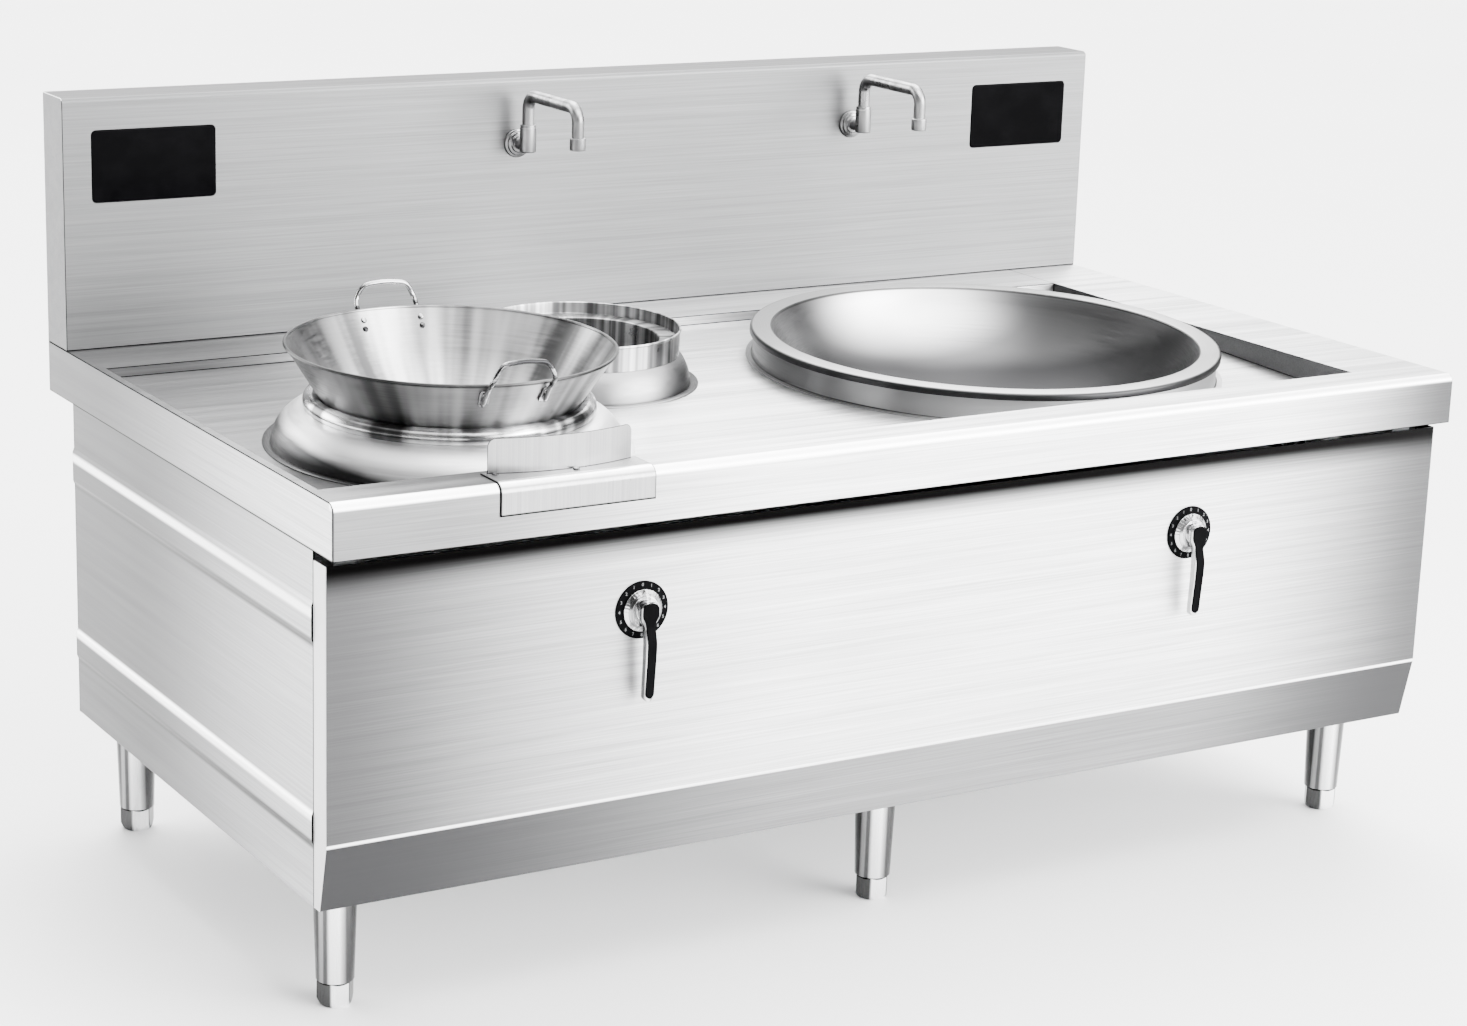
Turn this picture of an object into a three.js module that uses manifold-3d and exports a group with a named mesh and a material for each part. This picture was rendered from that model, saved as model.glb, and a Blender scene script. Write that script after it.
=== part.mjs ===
// Wok range: a free-standing stainless cabinet with a sloping worktop, a loose wok on a domed
// collar, a tail well behind it, a fixed large wok, two swivelling spouts and two lever switches.
// Millimetres, +Z up, +X to the right, front at -Y, floor at Z = 0.
import * as THREE from 'three';
import { mergeVertices } from 'three/addons/utils/BufferGeometryUtils.js';
import Module from 'manifold-3d';

const wasm = await Module();
wasm.setup();
const { Manifold, Mesh: SolidMesh } = wasm;

// ---------------------------------------------------------------- driving dimensions

const sheet = 1.5; // folded stainless sheet
const fit = 0.3; // clearance between neighbouring pieces
const runningFit = 0.1; // radial clearance of a turning shaft
const shaftFacets = 32;

// overall
const depth = 1120; // front rim face to the back of the backsplash
const rimTop = 790;
const rimFace = 81; // height of the worktop's outer edge
const rimRound = 14;
const backsplashRise = 405;
const backsplashDepth = 88;
const backsplashRound = 8;

// recessed worktop
const fall = THREE.MathUtils.degToRad(1.8); // worktop slopes down to the front
const ledgeFront = 80;
const ledgeBack = 140;
const ledgeLeft = 15;
const ledgeRight = 150;
const recessDepthBack = 16;

// cabinet
const frontOverhang = 30;
const sideInset = 3;
const backInset = 103;
const cabinetBottom = 189;
const shadowGap = 14; // front panel stops this far below the rim
const kickHeight = 102;
const kickSlope = 22;
const cornerReturn = 40;
const panelFlange = 20;
const ribRise = 2.5;
const ribSlope = 7;
const upperRib = { low: 582, high: 628 };
const lowerRib = { low: 288, high: 325 };
const louvre = { rows: 3, columns: 6, long: 190, high: 8, pitchX: 290, pitchZ: 40, low: 520 };
const intake = { count: 5, long: 150, wide: 10, pitch: 26 };

// angle-iron frame
const angleLeg = 40;
const angleThick = 3;
const frameInset = panelFlange + 2; // frame edge behind the cabinet sides
const frameFront = 58;
const frameBackInset = 5;
const crossRailX = -70;
const panSetback = 4; // floor pan behind the kick

// legs and levelling feet
const legInsetX = 70;
const legFrontY = 155;
const legBackInset = 70.5;
const legTopRadius = 32.5;
const legFootRadius = 28;
const legWall = 2;
const legPlate = 90;
const legPlateThick = 4;
const legBushHeight = 24;
const footHeight = 38;
const footBottomRadius = 25.5;
const footFlatAngle = THREE.MathUtils.degToRad(-96);
const footTravel = 25;
const stemRadius = 8;
const stemSpare = 11;
const stemLength = legBushHeight + footTravel + stemSpare;

// wok station at the front left
const wokPlace = { fromLedge: 60, behindRim: 362 };
const wokRimRadius = 244;
const wokRimHeight = 150; // above the worktop
const wokConeRadius = 208;
const wokConeHeight = 94;
const wokWall = 1.8;
const rimWire = 2.6;
const domeFlangeRadius = 275;
const domeFootRadius = 263;
const domeWall = 1.5;
const domeCurve = [[0, 1.5], [2, 14], [8, 28], [20, 42]]; // inwards from the foot, height
const domeCrown = 36;
const domeLip = 3; // the curve ends this far below the seat
const cutOutMargin = { dome: 20, tail: 12, big: 12 }; // worktop left under each foot
const rollRadius = 13.5; // section of the polished rest ring
const rollHeight = 64;
const seatAngle = THREE.MathUtils.degToRad(40); // where the collar meets the roll, below its middle
const wallSlant = 0.35; // share of the wall's thickness that its inside drops on a curve
const seatRise = 0.4; // seats stand a little above the end of the curve
const shelfHeight = 44;
const ceramicGap = 4;
const ceramicWall = 6;
const ceramicLip = 9;
const coilGap = 0.9;
const wokCoil = { inner: 45, outer: 150, thick: 10 };

// loop handles on the loose wok
const handleSpan = 94;
const handleRod = 3.75;
const handleRise = 40; // top of the loop above the wok's rim
const handleLean = 17;
const padWide = 15;
const padHigh = 30;
const padThick = 3;
const rivetRadius = 2.5;
const rivetPitch = 14;
const rivetHead = 4.5;
const rivetHeadThick = 1.4;
const rivetSeat = 1.1; // under the inner heads, room for the wall's facets
const handleFootDrop = 24;
const handleTurn = -3; // degrees, both handles as seen from above

// tail station behind it
const tailPlace = { bearing: THREE.MathUtils.degToRad(36.42), trim: 10.19 }; // flanges overlap by the trim
const tailFlangeRadius = 190;
const tailFootRadius = 177;
const tailRingRadius = 157.5;
const tailRingHeight = 90;
const tailRingWall = 2;
const tailShoulder = 50;
const tailShelf = 68;
const tailShelfReach = 26;
const tailCurve = [[0, 1.5], [1.5, 14], [6, 28], [13, 41]]; // inwards from the foot, height
const tailSeatReach = 12; // flat seat under the ring
const tailBead = 2; // rolled edge on the ring
const wellRadius = 125;
const wellDepth = 165;
const wellWall = 1.5;
const wellRound = 20;
const wellLipGap = 4;

// fixed large wok at the right
const bigPlace = { bearing: THREE.MathUtils.degToRad(-12.37), gap: 113.25, fromLedge: 53 };
const bigFlangeRadius = 397;
const bigSkirtRadius = 386;
const bigSkirtWall = 2;
const bigRimRadius = 392;
const bigMouthRadius = 356;
const bigRimHeight = 50;
const bigRimEdge = 11;
const bigRimRound = 2;
const bigWokDepth = 215;
const bigWokWall = 2.5;
const bigCoil = { inner: 60, outer: 250, thick: 14 };

// drain in the low front corner of the worktop
const drain = { fromSide: 60, fromFront: 55, radius: 34, bore: 26, pipe: 20, drop: 90, holes: 7, hole: 3 };

// toss guard hooked over the front rim
const guard = { aside: 23, width: 246, plateBack: 62, flange: 46, rise: 52 };
const guardArc = 325;
const guardReach = 228; // chord of the curved upright
const guardCorner = 12;
const guardMid = 38;
const guardScrewLeft = { aside: -106, y: 49 };
const guardScrewRight = { aside: 11, y: 29 };
const screw = { head: 4.5, headHigh: 2, shank: 2.5, long: 9 };

// displays and faucets on the backsplash
const display = { fromSide: 152, aboveRim: 294.5, width: 208, height: 114, corner: 7, thick: 4, proud: 1 };
const board = { margin: 8, thick: 18 };
const leftFaucetX = -196.7;
const rightFaucetX = 479;
const faucetAboveRim = 294.4;
const faucetStandoff = 40;
const faucetFlange = 24.3;
const faucetBody = { radius: 14, stub: 9.5, below: 10, above: 37 };
const faucetStem = { radius: 6, long: 20 };
const spoutRadius = 10.2;
const spoutRise = 86.6; // from the tap's middle up to the pipe's
const spoutDrop = 68; // from the pipe's middle down to the outlet
const spoutReach = 176;
const spoutFirstBend = 25;
const spoutLastBend = 44;
const sleeve = { radius: 13.2, high: 20, wall: 2.5, bury: 2 };

// lever switches on the front panel
const leftLeverFromSide = 495;
const rightLeverFromSide = 509;
const leverBelowRim = 217.4;
const dialRadius = 43;
const dialThick = 2;
const hub = { base: 31.4, nose: 22, deep: 10, neck: 14, neckDeep: 3 };
const leverBar = { thick: 11.5, length: 131, neckWide: 16.6, tipWide: 16 };
const leverBoss = { wide: 28, top: 17, round: 9.5 };
// height from the spindle, how far the lever's face comes forward
const leverBend = [[20, 0], [-17, 0], [-27, 2.7], [-36, 5.2], [-46, 6], [-62, 5.3], [-92, 3], [-133, 0.6]];
const leverBackBend = 0.6; // share of the bend that the bar's back follows
const grip = { thick: 2.6, inset: 1, endInset: 5 };
const shaft = { radius: 4, long: 34 };
const switchBox = { wide: 68, deep: 42 };

// power electronics and supply
const wokInverter = { wide: 400, deep: 340, high: 150, aside: 30, behind: 198 };
const bigInverter = { wide: 480, deep: 380, high: 170, aside: 20, behind: 78 };
const housingWall = 2;
const fan = { radius: 60, wall: 4, high: 25, hub: 22, spoke: 8 };
const fins = { count: 10, thick: 4, high: 18 };
const gland = { fromSide: 400, abovePan: 139.5, radius: 18, bore: 9, out: 26, inside: 14, thread: 13 };

// ---------------------------------------------------------------- derived sizes

// the stations stand in a row, each a step from the one before, and fill the width
const step = (length, bearing) => ({ x: length * Math.cos(bearing), y: length * Math.sin(bearing) });
const tailStep = step(domeFlangeRadius + tailFlangeRadius - tailPlace.trim, tailPlace.bearing);
const bigStep = step(tailFlangeRadius + bigFlangeRadius + bigPlace.gap, bigPlace.bearing);
const wokFromLeft = ledgeLeft + wokPlace.fromLedge + domeFlangeRadius;
const bigFromRight = ledgeRight + bigPlace.fromLedge + bigFlangeRadius;
const width = Math.round(wokFromLeft + tailStep.x + bigStep.x + bigFromRight);
const halfWidth = width / 2;
const wokStation = { x: -halfWidth + wokFromLeft, y: wokPlace.behindRim };
const tailStation = { x: wokStation.x + tailStep.x, y: wokStation.y + tailStep.y };
const bigStation = { x: halfWidth - bigFromRight, y: tailStation.y + bigStep.y };

const rimBottom = rimTop - rimFace;
const backsplashFront = depth - backsplashDepth;
const recess = {
  left: -halfWidth + ledgeLeft,
  right: halfWidth - ledgeRight,
  front: ledgeFront,
  back: backsplashFront - ledgeBack,
};
const recessBackZ = rimTop - recessDepthBack;
const panelHalf = halfWidth - sideInset;
const cabinetBack = depth - backInset;
const panelTop = rimBottom - fit;
const frontPanelTop = rimBottom - shadowGap;
const panZ = cabinetBottom + sheet + fit;
const frameZ = panZ + sheet + fit;
const innerHalf = panelHalf - sheet - fit;
const legBackY = cabinetBack - legBackInset;
const drainAt = { x: recess.right - drain.fromSide, y: recess.front + drain.fromFront };
const guardX = wokStation.x + guard.aside;
const guardScrews = [guardScrewLeft, guardScrewRight].map(({ aside, y }) => ({ x: guardX + aside, y }));
const displayX = halfWidth - display.fromSide;
const displayZ = rimTop + display.aboveRim;
const faucets = [{ side: 'left', x: leftFaucetX }, { side: 'right', x: rightFaucetX }];
const faucetZ = rimTop + faucetAboveRim;
const spoutTop = faucetZ + spoutRise;
const outletZ = spoutTop - spoutDrop;
const levers = [
  { side: 'left', x: -halfWidth + leftLeverFromSide },
  { side: 'right', x: halfWidth - rightLeverFromSide },
];
const leverZ = rimTop - leverBelowRim;
const inverters = [
  { name: 'wok_inverter', ...wokInverter, x: wokStation.x + wokInverter.aside,
    y: wokStation.y + wokInverter.behind },
  { name: 'big_wok_inverter', ...bigInverter, x: bigStation.x + bigInverter.aside,
    y: bigStation.y + bigInverter.behind },
];
const glandX = -halfWidth + gland.fromSide;
const glandZ = panZ + gland.abovePan;
const leverFaceY = frontOverhang - frontOffset() - Math.max(...leverBend.map(([, forward]) => forward));
const centreShift = -(depth + leverFaceY) / 2;

// distance that a lever stands in front of the front panel
function frontOffset() {
  return fit + dialThick + fit + hub.deep + hub.neckDeep + leverBar.thick + fit + grip.thick;
}

// height of the sloping worktop at a distance y behind the front rim face
function worktopZ(y) {
  return recessBackZ - (recess.back - y) * Math.tan(fall);
}

// ---------------------------------------------------------------- solids

function toSolid(geometry) {
  const bare = geometry.clone();
  for (const name of Object.keys(bare.attributes)) if (name !== 'position') bare.deleteAttribute(name);
  const merged = mergeVertices(bare, 1e-4);
  const position = merged.attributes.position;
  const triangles = [];
  let volume = 0;
  const corner = [new THREE.Vector3(), new THREE.Vector3(), new THREE.Vector3()];
  for (let i = 0; i < merged.index.count; i += 3) {
    const ids = [0, 1, 2].map((k) => merged.index.getX(i + k));
    if (ids[0] === ids[1] || ids[1] === ids[2] || ids[2] === ids[0]) continue;
    ids.forEach((id, k) => corner[k].fromBufferAttribute(position, id));
    volume += corner[0].dot(corner[1].clone().cross(corner[2]));
    triangles.push(ids);
  }
  const ordered = triangles.map((ids) => (volume < 0 ? [ids[0], ids[2], ids[1]] : ids));
  return new Manifold(new SolidMesh({
    numProp: 3,
    vertProperties: new Float32Array(position.array),
    triVerts: new Uint32Array(ordered.flat()),
  }));
}

function toGeometry(solid) {
  const data = solid.getMesh();
  const geometry = new THREE.BufferGeometry();
  geometry.setAttribute('position', new THREE.BufferAttribute(new Float32Array(data.vertProperties), 3));
  geometry.setIndex(new THREE.BufferAttribute(new Uint32Array(data.triVerts), 1));
  geometry.computeVertexNormals();
  return geometry;
}

const union = (...solids) => solids.reduce((sum, next) => sum.add(next));
const cut = (solid, ...tools) => tools.reduce((rest, tool) => rest.subtract(tool), solid);

// box between exact limits, so that boxes made from one value share their faces
function box([x0, x1], [y0, y1], [z0, z1]) {
  const geometry = new THREE.BoxGeometry(2, 2, 2);
  const corner = geometry.attributes.position;
  for (let i = 0; i < corner.count; i += 1) {
    corner.setXYZ(i, corner.getX(i) < 0 ? x0 : x1, corner.getY(i) < 0 ? y0 : y1, corner.getZ(i) < 0 ? z0 : z1);
  }
  return toSolid(geometry);
}

function extrude(shape, length, curveSegments = 8) {
  return new THREE.ExtrudeGeometry(shape, { depth: length, bevelEnabled: false, curveSegments });
}

// shape drawn in X and Y, raised from z0 to z1
function prismZ(shape, z0, z1, curveSegments) {
  return toSolid(extrude(shape, z1 - z0, curveSegments).translate(0, 0, z0));
}

// shape drawn in Y and Z, run along X from x0 to x1
function prismX(shape, x0, x1, curveSegments) {
  const geometry = extrude(shape, x1 - x0, curveSegments);
  geometry.applyMatrix4(new THREE.Matrix4().makeBasis(
    new THREE.Vector3(0, 1, 0), new THREE.Vector3(0, 0, 1), new THREE.Vector3(1, 0, 0)));
  return toSolid(geometry.translate(x0, 0, 0));
}

// shape drawn in X and Z, run along Y from y0 to y1
function prismY(shape, y0, y1, curveSegments) {
  const geometry = extrude(shape, y1 - y0, curveSegments);
  geometry.applyMatrix4(new THREE.Matrix4().makeBasis(
    new THREE.Vector3(1, 0, 0), new THREE.Vector3(0, 0, 1), new THREE.Vector3(0, -1, 0)));
  return toSolid(geometry.translate(0, y1, 0));
}

function polygon(points) {
  return new THREE.Shape(points.map(([a, b]) => new THREE.Vector2(a, b)));
}

function roundedRect(w, h, r) {
  const shape = new THREE.Shape();
  shape.absarc(w / 2 - r, -h / 2 + r, r, -Math.PI / 2, 0);
  shape.absarc(w / 2 - r, h / 2 - r, r, 0, Math.PI / 2);
  shape.absarc(-w / 2 + r, h / 2 - r, r, Math.PI / 2, Math.PI);
  shape.absarc(-w / 2 + r, -h / 2 + r, r, Math.PI, Math.PI * 1.5);
  return shape;
}

// profile of [radius, height] pairs turned about Z; it closes on itself or ends on the axis
const wokFacets = 36; // pieces that nest share their facets, so their gaps stay even
const bigFacets = 44;

function turn(profile, segments = wokFacets) {
  const points = profile.map(([r, h]) => new THREE.Vector2(r, h));
  const closed = profile[0][0] > 0 || profile[profile.length - 1][0] > 0;
  if (closed) points.push(points[0].clone());
  return toSolid(new THREE.LatheGeometry(points, segments).rotateX(Math.PI / 2));
}

function cylinder(radius, z0, z1, segments = 16) {
  const geometry = new THREE.CylinderGeometry(radius, radius, z1 - z0, segments).rotateX(Math.PI / 2);
  return toSolid(geometry.translate(0, 0, (z0 + z1) / 2));
}

// round bar along Y at (x, z)
function rodY(radius, x, z, y0, y1, segments = 14) {
  const geometry = new THREE.CylinderGeometry(radius, radius, y1 - y0, segments);
  return toSolid(geometry.translate(x, (y0 + y1) / 2, z));
}

// arc of [radius, height] points on a circle about (cr, ch), angles from the radial direction
function arc(cr, ch, radius, from, to, steps) {
  return Array.from({ length: steps + 1 }, (_, i) => {
    const a = from + ((to - from) * i) / steps;
    return [cr + radius * Math.cos(a), ch + radius * Math.sin(a)];
  });
}

// ---------------------------------------------------------------- materials

function metal(color, roughness) {
  return new THREE.MeshStandardMaterial({ color, roughness, metalness: 1 });
}

const materials = {
  brushed: metal(0xd0d1d2, 0.38),
  polished: metal(0xe2e3e4, 0.12),
  frame: metal(0x9a9c9e, 0.55),
  ceramic: new THREE.MeshStandardMaterial({ color: 0x141416, roughness: 0.2, metalness: 0 }),
  glass: new THREE.MeshStandardMaterial({ color: 0x0b0c0e, roughness: 0.08, metalness: 0 }),
  plastic: new THREE.MeshStandardMaterial({ color: 0x1a1a1b, roughness: 0.45, metalness: 0 }),
  electronics: metal(0xb4b6b8, 0.5),
  copper: metal(0xa8643c, 0.45),
};

const group = new THREE.Group();
const cabinet = new THREE.Group(); // y from the front rim face, centred by this shift
cabinet.position.y = centreShift;
group.add(cabinet);
const worktopPlane = new THREE.Group(); // origin on the recess's back edge, tilted with the worktop
worktopPlane.position.set(0, recess.back, recessBackZ);
worktopPlane.rotation.x = fall;
cabinet.add(worktopPlane);

function place(parent, name, solid, material) {
  const mesh = new THREE.Mesh(toGeometry(solid), material);
  mesh.name = name;
  parent.add(mesh);
  return mesh;
}

// a group standing on the sloping worktop, over the point (x, y) of the cabinet
function station({ x, y }) {
  const stand = new THREE.Group();
  stand.position.set(x, (y - recess.back) / Math.cos(fall), 0);
  worktopPlane.add(stand);
  return stand;
}

// a solid given in a station's frame, moved to the cabinet's frame
function onCabinet(solid, { x, y }) {
  const matrix = new THREE.Matrix4().makeRotationX(fall).setPosition(x, y, worktopZ(y));
  return solid.transform(matrix.elements);
}

// ---------------------------------------------------------------- worktop and backsplash

function rimOutline(inset) {
  const round = rimRound - inset;
  const top = rimTop - inset;
  const low = rimBottom - (inset > 0 ? 1 : 0);
  const shape = new THREE.Shape();
  shape.moveTo(depth - inset, low);
  shape.lineTo(depth - inset, top);
  shape.lineTo(rimRound, top);
  shape.absarc(rimRound, rimTop - rimRound, round, Math.PI / 2, Math.PI);
  shape.lineTo(inset, low);
  return shape;
}

function recessVolume(grow) {
  const front = recess.front - grow;
  const back = recess.back + grow;
  const above = rimTop + 20;
  const drop = grow / Math.cos(fall);
  const side = polygon([
    [front, worktopZ(front) - drop], [back, worktopZ(back) - drop], [back, above], [front, above],
  ]);
  return prismX(side, recess.left - grow, recess.right + grow);
}

function buildWorktop() {
  const block = prismX(rimOutline(0), -halfWidth, halfWidth, 6);
  const under = prismX(rimOutline(sheet), -halfWidth + sheet, halfWidth - sheet, 6);
  const shell = cut(block, recessVolume(0), cut(under, recessVolume(sheet)));
  const cutOut = (radius, at) => onCabinet(cylinder(radius, -20, 20, 36), at);
  const screwHoles = guardScrews.map(({ x, y }) => (
    cylinder(screw.shank + fit, rimTop - 10, rimTop + 5, 10).translate([x, y, 0])));
  return cut(
    shell,
    cutOut(domeFootRadius - cutOutMargin.dome, wokStation),
    cutOut(tailFootRadius - cutOutMargin.tail, tailStation),
    cutOut(bigSkirtRadius - cutOutMargin.big, bigStation),
    cutOut(drain.bore + fit, drainAt),
    ...screwHoles,
  );
}

function buildBacksplash() {
  const outline = (inset) => {
    const shape = new THREE.Shape();
    const round = backsplashRound - inset;
    const top = rimTop + backsplashRise - inset;
    const low = inset > 0 ? rimTop - 1 : rimTop + fit;
    const back = inset > 0 ? depth + 1 : depth;
    shape.moveTo(back, low);
    shape.lineTo(back, top);
    shape.lineTo(backsplashFront + backsplashRound, top);
    const centreZ = rimTop + backsplashRise - backsplashRound;
    shape.absarc(backsplashFront + backsplashRound, centreZ, round, Math.PI / 2, Math.PI);
    shape.lineTo(backsplashFront + inset, low);
    return shape;
  };
  const skin = prismX(outline(0), -halfWidth, halfWidth, 5);
  const inside = prismX(outline(sheet), -halfWidth + sheet, halfWidth - sheet, 5);
  const window = roundedRect(display.width + 2 * fit, display.height + 2 * fit, display.corner);
  const windows = [-1, 1].map((side) => (
    prismY(window, backsplashFront - 5, backsplashFront + 5, 4).translate([side * displayX, 0, displayZ])));
  const taps = faucets.map(({ x }) => (
    rodY(faucetStem.radius + 2 + fit, x, faucetZ, backsplashFront - 5, backsplashFront + 5)));
  return cut(skin, inside, ...windows, ...taps);
}

function buildBackCover() {
  const half = halfWidth - sheet - fit;
  return box([-half, half], [depth - sheet - fit, depth - fit],
    [rimTop + 2 * fit, rimTop + backsplashRise - sheet - fit]);
}

function buildDisplay(side) {
  const face = backsplashFront - display.proud;
  const outline = roundedRect(display.width, display.height, display.corner);
  const glass = prismY(outline, face, face + display.thick, 4).translate([side * displayX, 0, displayZ]);
  const rear = face + display.thick + fit;
  const halfW = display.width / 2 + board.margin;
  const halfH = display.height / 2 + board.margin;
  const at = [side * displayX - halfW, side * displayX + halfW];
  const tray = box(at, [backsplashFront + sheet + fit, backsplashFront + sheet + board.thick],
    [displayZ - halfH, displayZ + halfH]);
  const seat = box([side * displayX - display.width / 2 - 1, side * displayX + display.width / 2 + 1],
    [backsplashFront, rear], [displayZ - display.height / 2 - 1, displayZ + display.height / 2 + 1]);
  return { glass, tray: cut(tray, seat) };
}

// ---------------------------------------------------------------- cabinet panels

function buildFrontPanel() {
  const fold = cabinetBottom + kickHeight;
  const foot = frontOverhang + kickSlope;
  const back = frontOverhang + cornerReturn;
  const outside = polygon([
    [frontOverhang, fold], [frontOverhang, frontPanelTop], [back, frontPanelTop],
    [back, cabinetBottom], [foot, cabinetBottom],
  ]);
  const inside = polygon([
    [frontOverhang + sheet, fold], [frontOverhang + sheet, frontPanelTop + 1],
    [back + 1, frontPanelTop + 1], [back + 1, cabinetBottom + sheet], [foot + sheet, cabinetBottom + sheet],
  ]);
  const shell = cut(
    prismX(outside, -panelHalf, panelHalf),
    prismX(inside, -panelHalf + sheet, panelHalf - sheet),
  );
  const shaftHoles = levers.map(({ x }) => (
    rodY(shaft.radius + 2, x, leverZ, frontOverhang - 5, frontOverhang + 5)));
  return cut(shell, ...shaftHoles);
}

// side wall section: x grows into the cabinet, two pressed ribs stand outwards
function sideSection(offset) {
  const rib = ({ low, high }) => [
    [0, low - ribSlope], [-ribRise, low], [-ribRise, high], [0, high + ribSlope],
  ];
  const face = [[0, cabinetBottom], ...rib(lowerRib), ...rib(upperRib), [0, panelTop]];
  return face.map(([x, z]) => [x + offset, z]);
}

function buildSidePanel(side) {
  const outer = sideSection(0);
  const inner = sideSection(sheet).reverse();
  inner[0] = [panelFlange, panelTop];
  inner.splice(1, 0, [panelFlange, panelTop - sheet], [sheet, panelTop - sheet]);
  inner[inner.length - 1] = [sheet, cabinetBottom + sheet];
  inner.push([panelFlange, cabinetBottom + sheet], [panelFlange, cabinetBottom]);
  const section = [...outer, ...inner].map(([x, z]) => [side * (panelHalf - x), z]);
  return prismY(polygon(section), frontOverhang + cornerReturn + fit, cabinetBack);
}

function buildRearPanel() {
  const plate = box([-innerHalf, innerHalf], [cabinetBack - sheet, cabinetBack],
    [panZ, panelTop - sheet - fit]);
  const slots = [];
  for (let row = 0; row < louvre.rows; row += 1) {
    for (let column = 0; column < louvre.columns; column += 1) {
      const x = (column - (louvre.columns - 1) / 2) * louvre.pitchX;
      const z = louvre.low + row * louvre.pitchZ;
      slots.push(box([x - louvre.long / 2, x + louvre.long / 2],
        [cabinetBack - 5, cabinetBack + 5], [z, z + louvre.high]));
    }
  }
  const inlet = rodY(gland.thread + fit, glandX, glandZ, cabinetBack - 5, cabinetBack + 5);
  return cut(plate, ...slots, inlet);
}

function buildFloorPan() {
  const plate = box([-innerHalf, innerHalf],
    [frontOverhang + kickSlope + panSetback, cabinetBack - sheet - fit], [panZ, panZ + sheet]);
  const slots = [];
  for (const { x, y } of inverters) {
    for (let i = 0; i < intake.count; i += 1) {
      const at = y + (i - (intake.count - 1) / 2) * intake.pitch;
      slots.push(box([x - intake.long / 2, x + intake.long / 2],
        [at - intake.wide / 2, at + intake.wide / 2], [panZ - 5, panZ + 5]));
    }
  }
  return cut(plate, ...slots);
}

// ---------------------------------------------------------------- frame

const frameSides = { left: -panelHalf + frameInset, right: panelHalf - frameInset,
  front: frameFront, back: cabinetBack - frameBackInset };

// rectangular ring of angle iron with one cross rail: a block hollowed beside its
// upright legs, then opened between its flat legs
function angleRing(zLow, zHigh, flatLow) {
  const { left, right, front, back } = frameSides;
  const hollowZ = flatLow ? [zLow + angleThick, zHigh + 1] : [zLow - 1, zHigh - angleThick];
  const bay = (x, inset, z) => box(x, [front + inset, back - inset], z);
  const through = [zLow - 1, zHigh + 1];
  return cut(
    box([left, right], [front, back], [zLow, zHigh]),
    bay([left + angleThick, crossRailX], angleThick, hollowZ),
    bay([crossRailX + angleThick, right - angleThick], angleThick, hollowZ),
    bay([left + angleLeg, crossRailX], angleLeg, through),
    bay([crossRailX + angleLeg, right - angleLeg], angleLeg, through),
  );
}

// rounded down to half a millimetre, as a frame would be cut
const topFrameTop = Math.floor((worktopZ(recess.front) - sheet / Math.cos(fall) - fit) * 2) / 2;

function buildPost(sideX, sideY) {
  const z = [frameZ + angleThick + fit, topFrameTop - angleThick - fit];
  const outX = sideX > 0 ? frameSides.right : frameSides.left;
  const outY = sideY > 0 ? frameSides.back : frameSides.front;
  const faceX = outX - sideX * (angleThick + fit);
  const faceY = outY - sideY * (angleThick + fit);
  const reach = angleLeg - angleThick;
  const span = (a, b) => [Math.min(a, b), Math.max(a, b)];
  return union(
    box(span(faceX, faceX - sideX * reach), span(faceY, faceY - sideY * angleThick), z),
    box(span(faceX, faceX - sideX * angleThick), span(faceY, faceY - sideY * reach), z),
  );
}

// ---------------------------------------------------------------- legs and feet

const legTop = panZ - fit;
const legTaper = (legTopRadius - legFootRadius) / (legTop - legPlateThick - footHeight);

function buildLeg() {
  const low = footHeight + fit;
  const under = legTop - legPlateThick;
  const tube = turn([
    [legFootRadius, low], [legTopRadius, under + 0.5], [legTopRadius - legWall, under + 0.5],
    [legFootRadius - legWall + legTaper * legBushHeight, low + legBushHeight],
    [stemRadius + fit, low + legBushHeight], [stemRadius + fit, low],
  ], 20);
  const plate = box([-legPlate / 2, legPlate / 2], [-legPlate / 2, legPlate / 2], [under, legTop]);
  return union(tube, plate);
}

function buildFoot() {
  const hexagon = (top, bottom, z0, z1) => {
    const geometry = new THREE.CylinderGeometry(top, bottom, z1 - z0, 6);
    geometry.rotateX(Math.PI / 2).rotateZ(footFlatAngle + Math.PI / 6 + Math.PI / 2);
    return toSolid(geometry.translate(0, 0, (z0 + z1) / 2));
  };
  const chamfer = 12;
  return union(
    hexagon(legFootRadius, footBottomRadius, 0, chamfer),
    hexagon(legFootRadius, legFootRadius, chamfer - 0.01, footHeight),
    cylinder(stemRadius, footHeight - 1, footHeight + stemLength, 12),
  );
}

// ---------------------------------------------------------------- wok station

// the bowl's round bottom meets its straight cone tangentially
const coneRun = wokRimRadius - wokConeRadius;
const coneRise = wokRimHeight - wokConeHeight;
const coneAngle = Math.atan2(coneRise, coneRun); // wall's slope above the worktop
const bowlRadius = wokConeRadius / Math.sin(coneAngle);
const bowlCentre = wokConeHeight + bowlRadius * Math.cos(coneAngle);

function bowlArc(radius, fromAngle, toAngle, steps) {
  return arc(0, bowlCentre, radius, fromAngle - Math.PI / 2, toAngle - Math.PI / 2, steps);
}

// polished roll that the wok rests on: tangent to the bowl, one clearance away
const rollCentre = Math.sqrt(
  (bowlRadius + rollRadius + fit) ** 2 - (bowlCentre - rollHeight) ** 2);
const restAngle = Math.atan2(rollCentre, bowlCentre - rollHeight);

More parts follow.
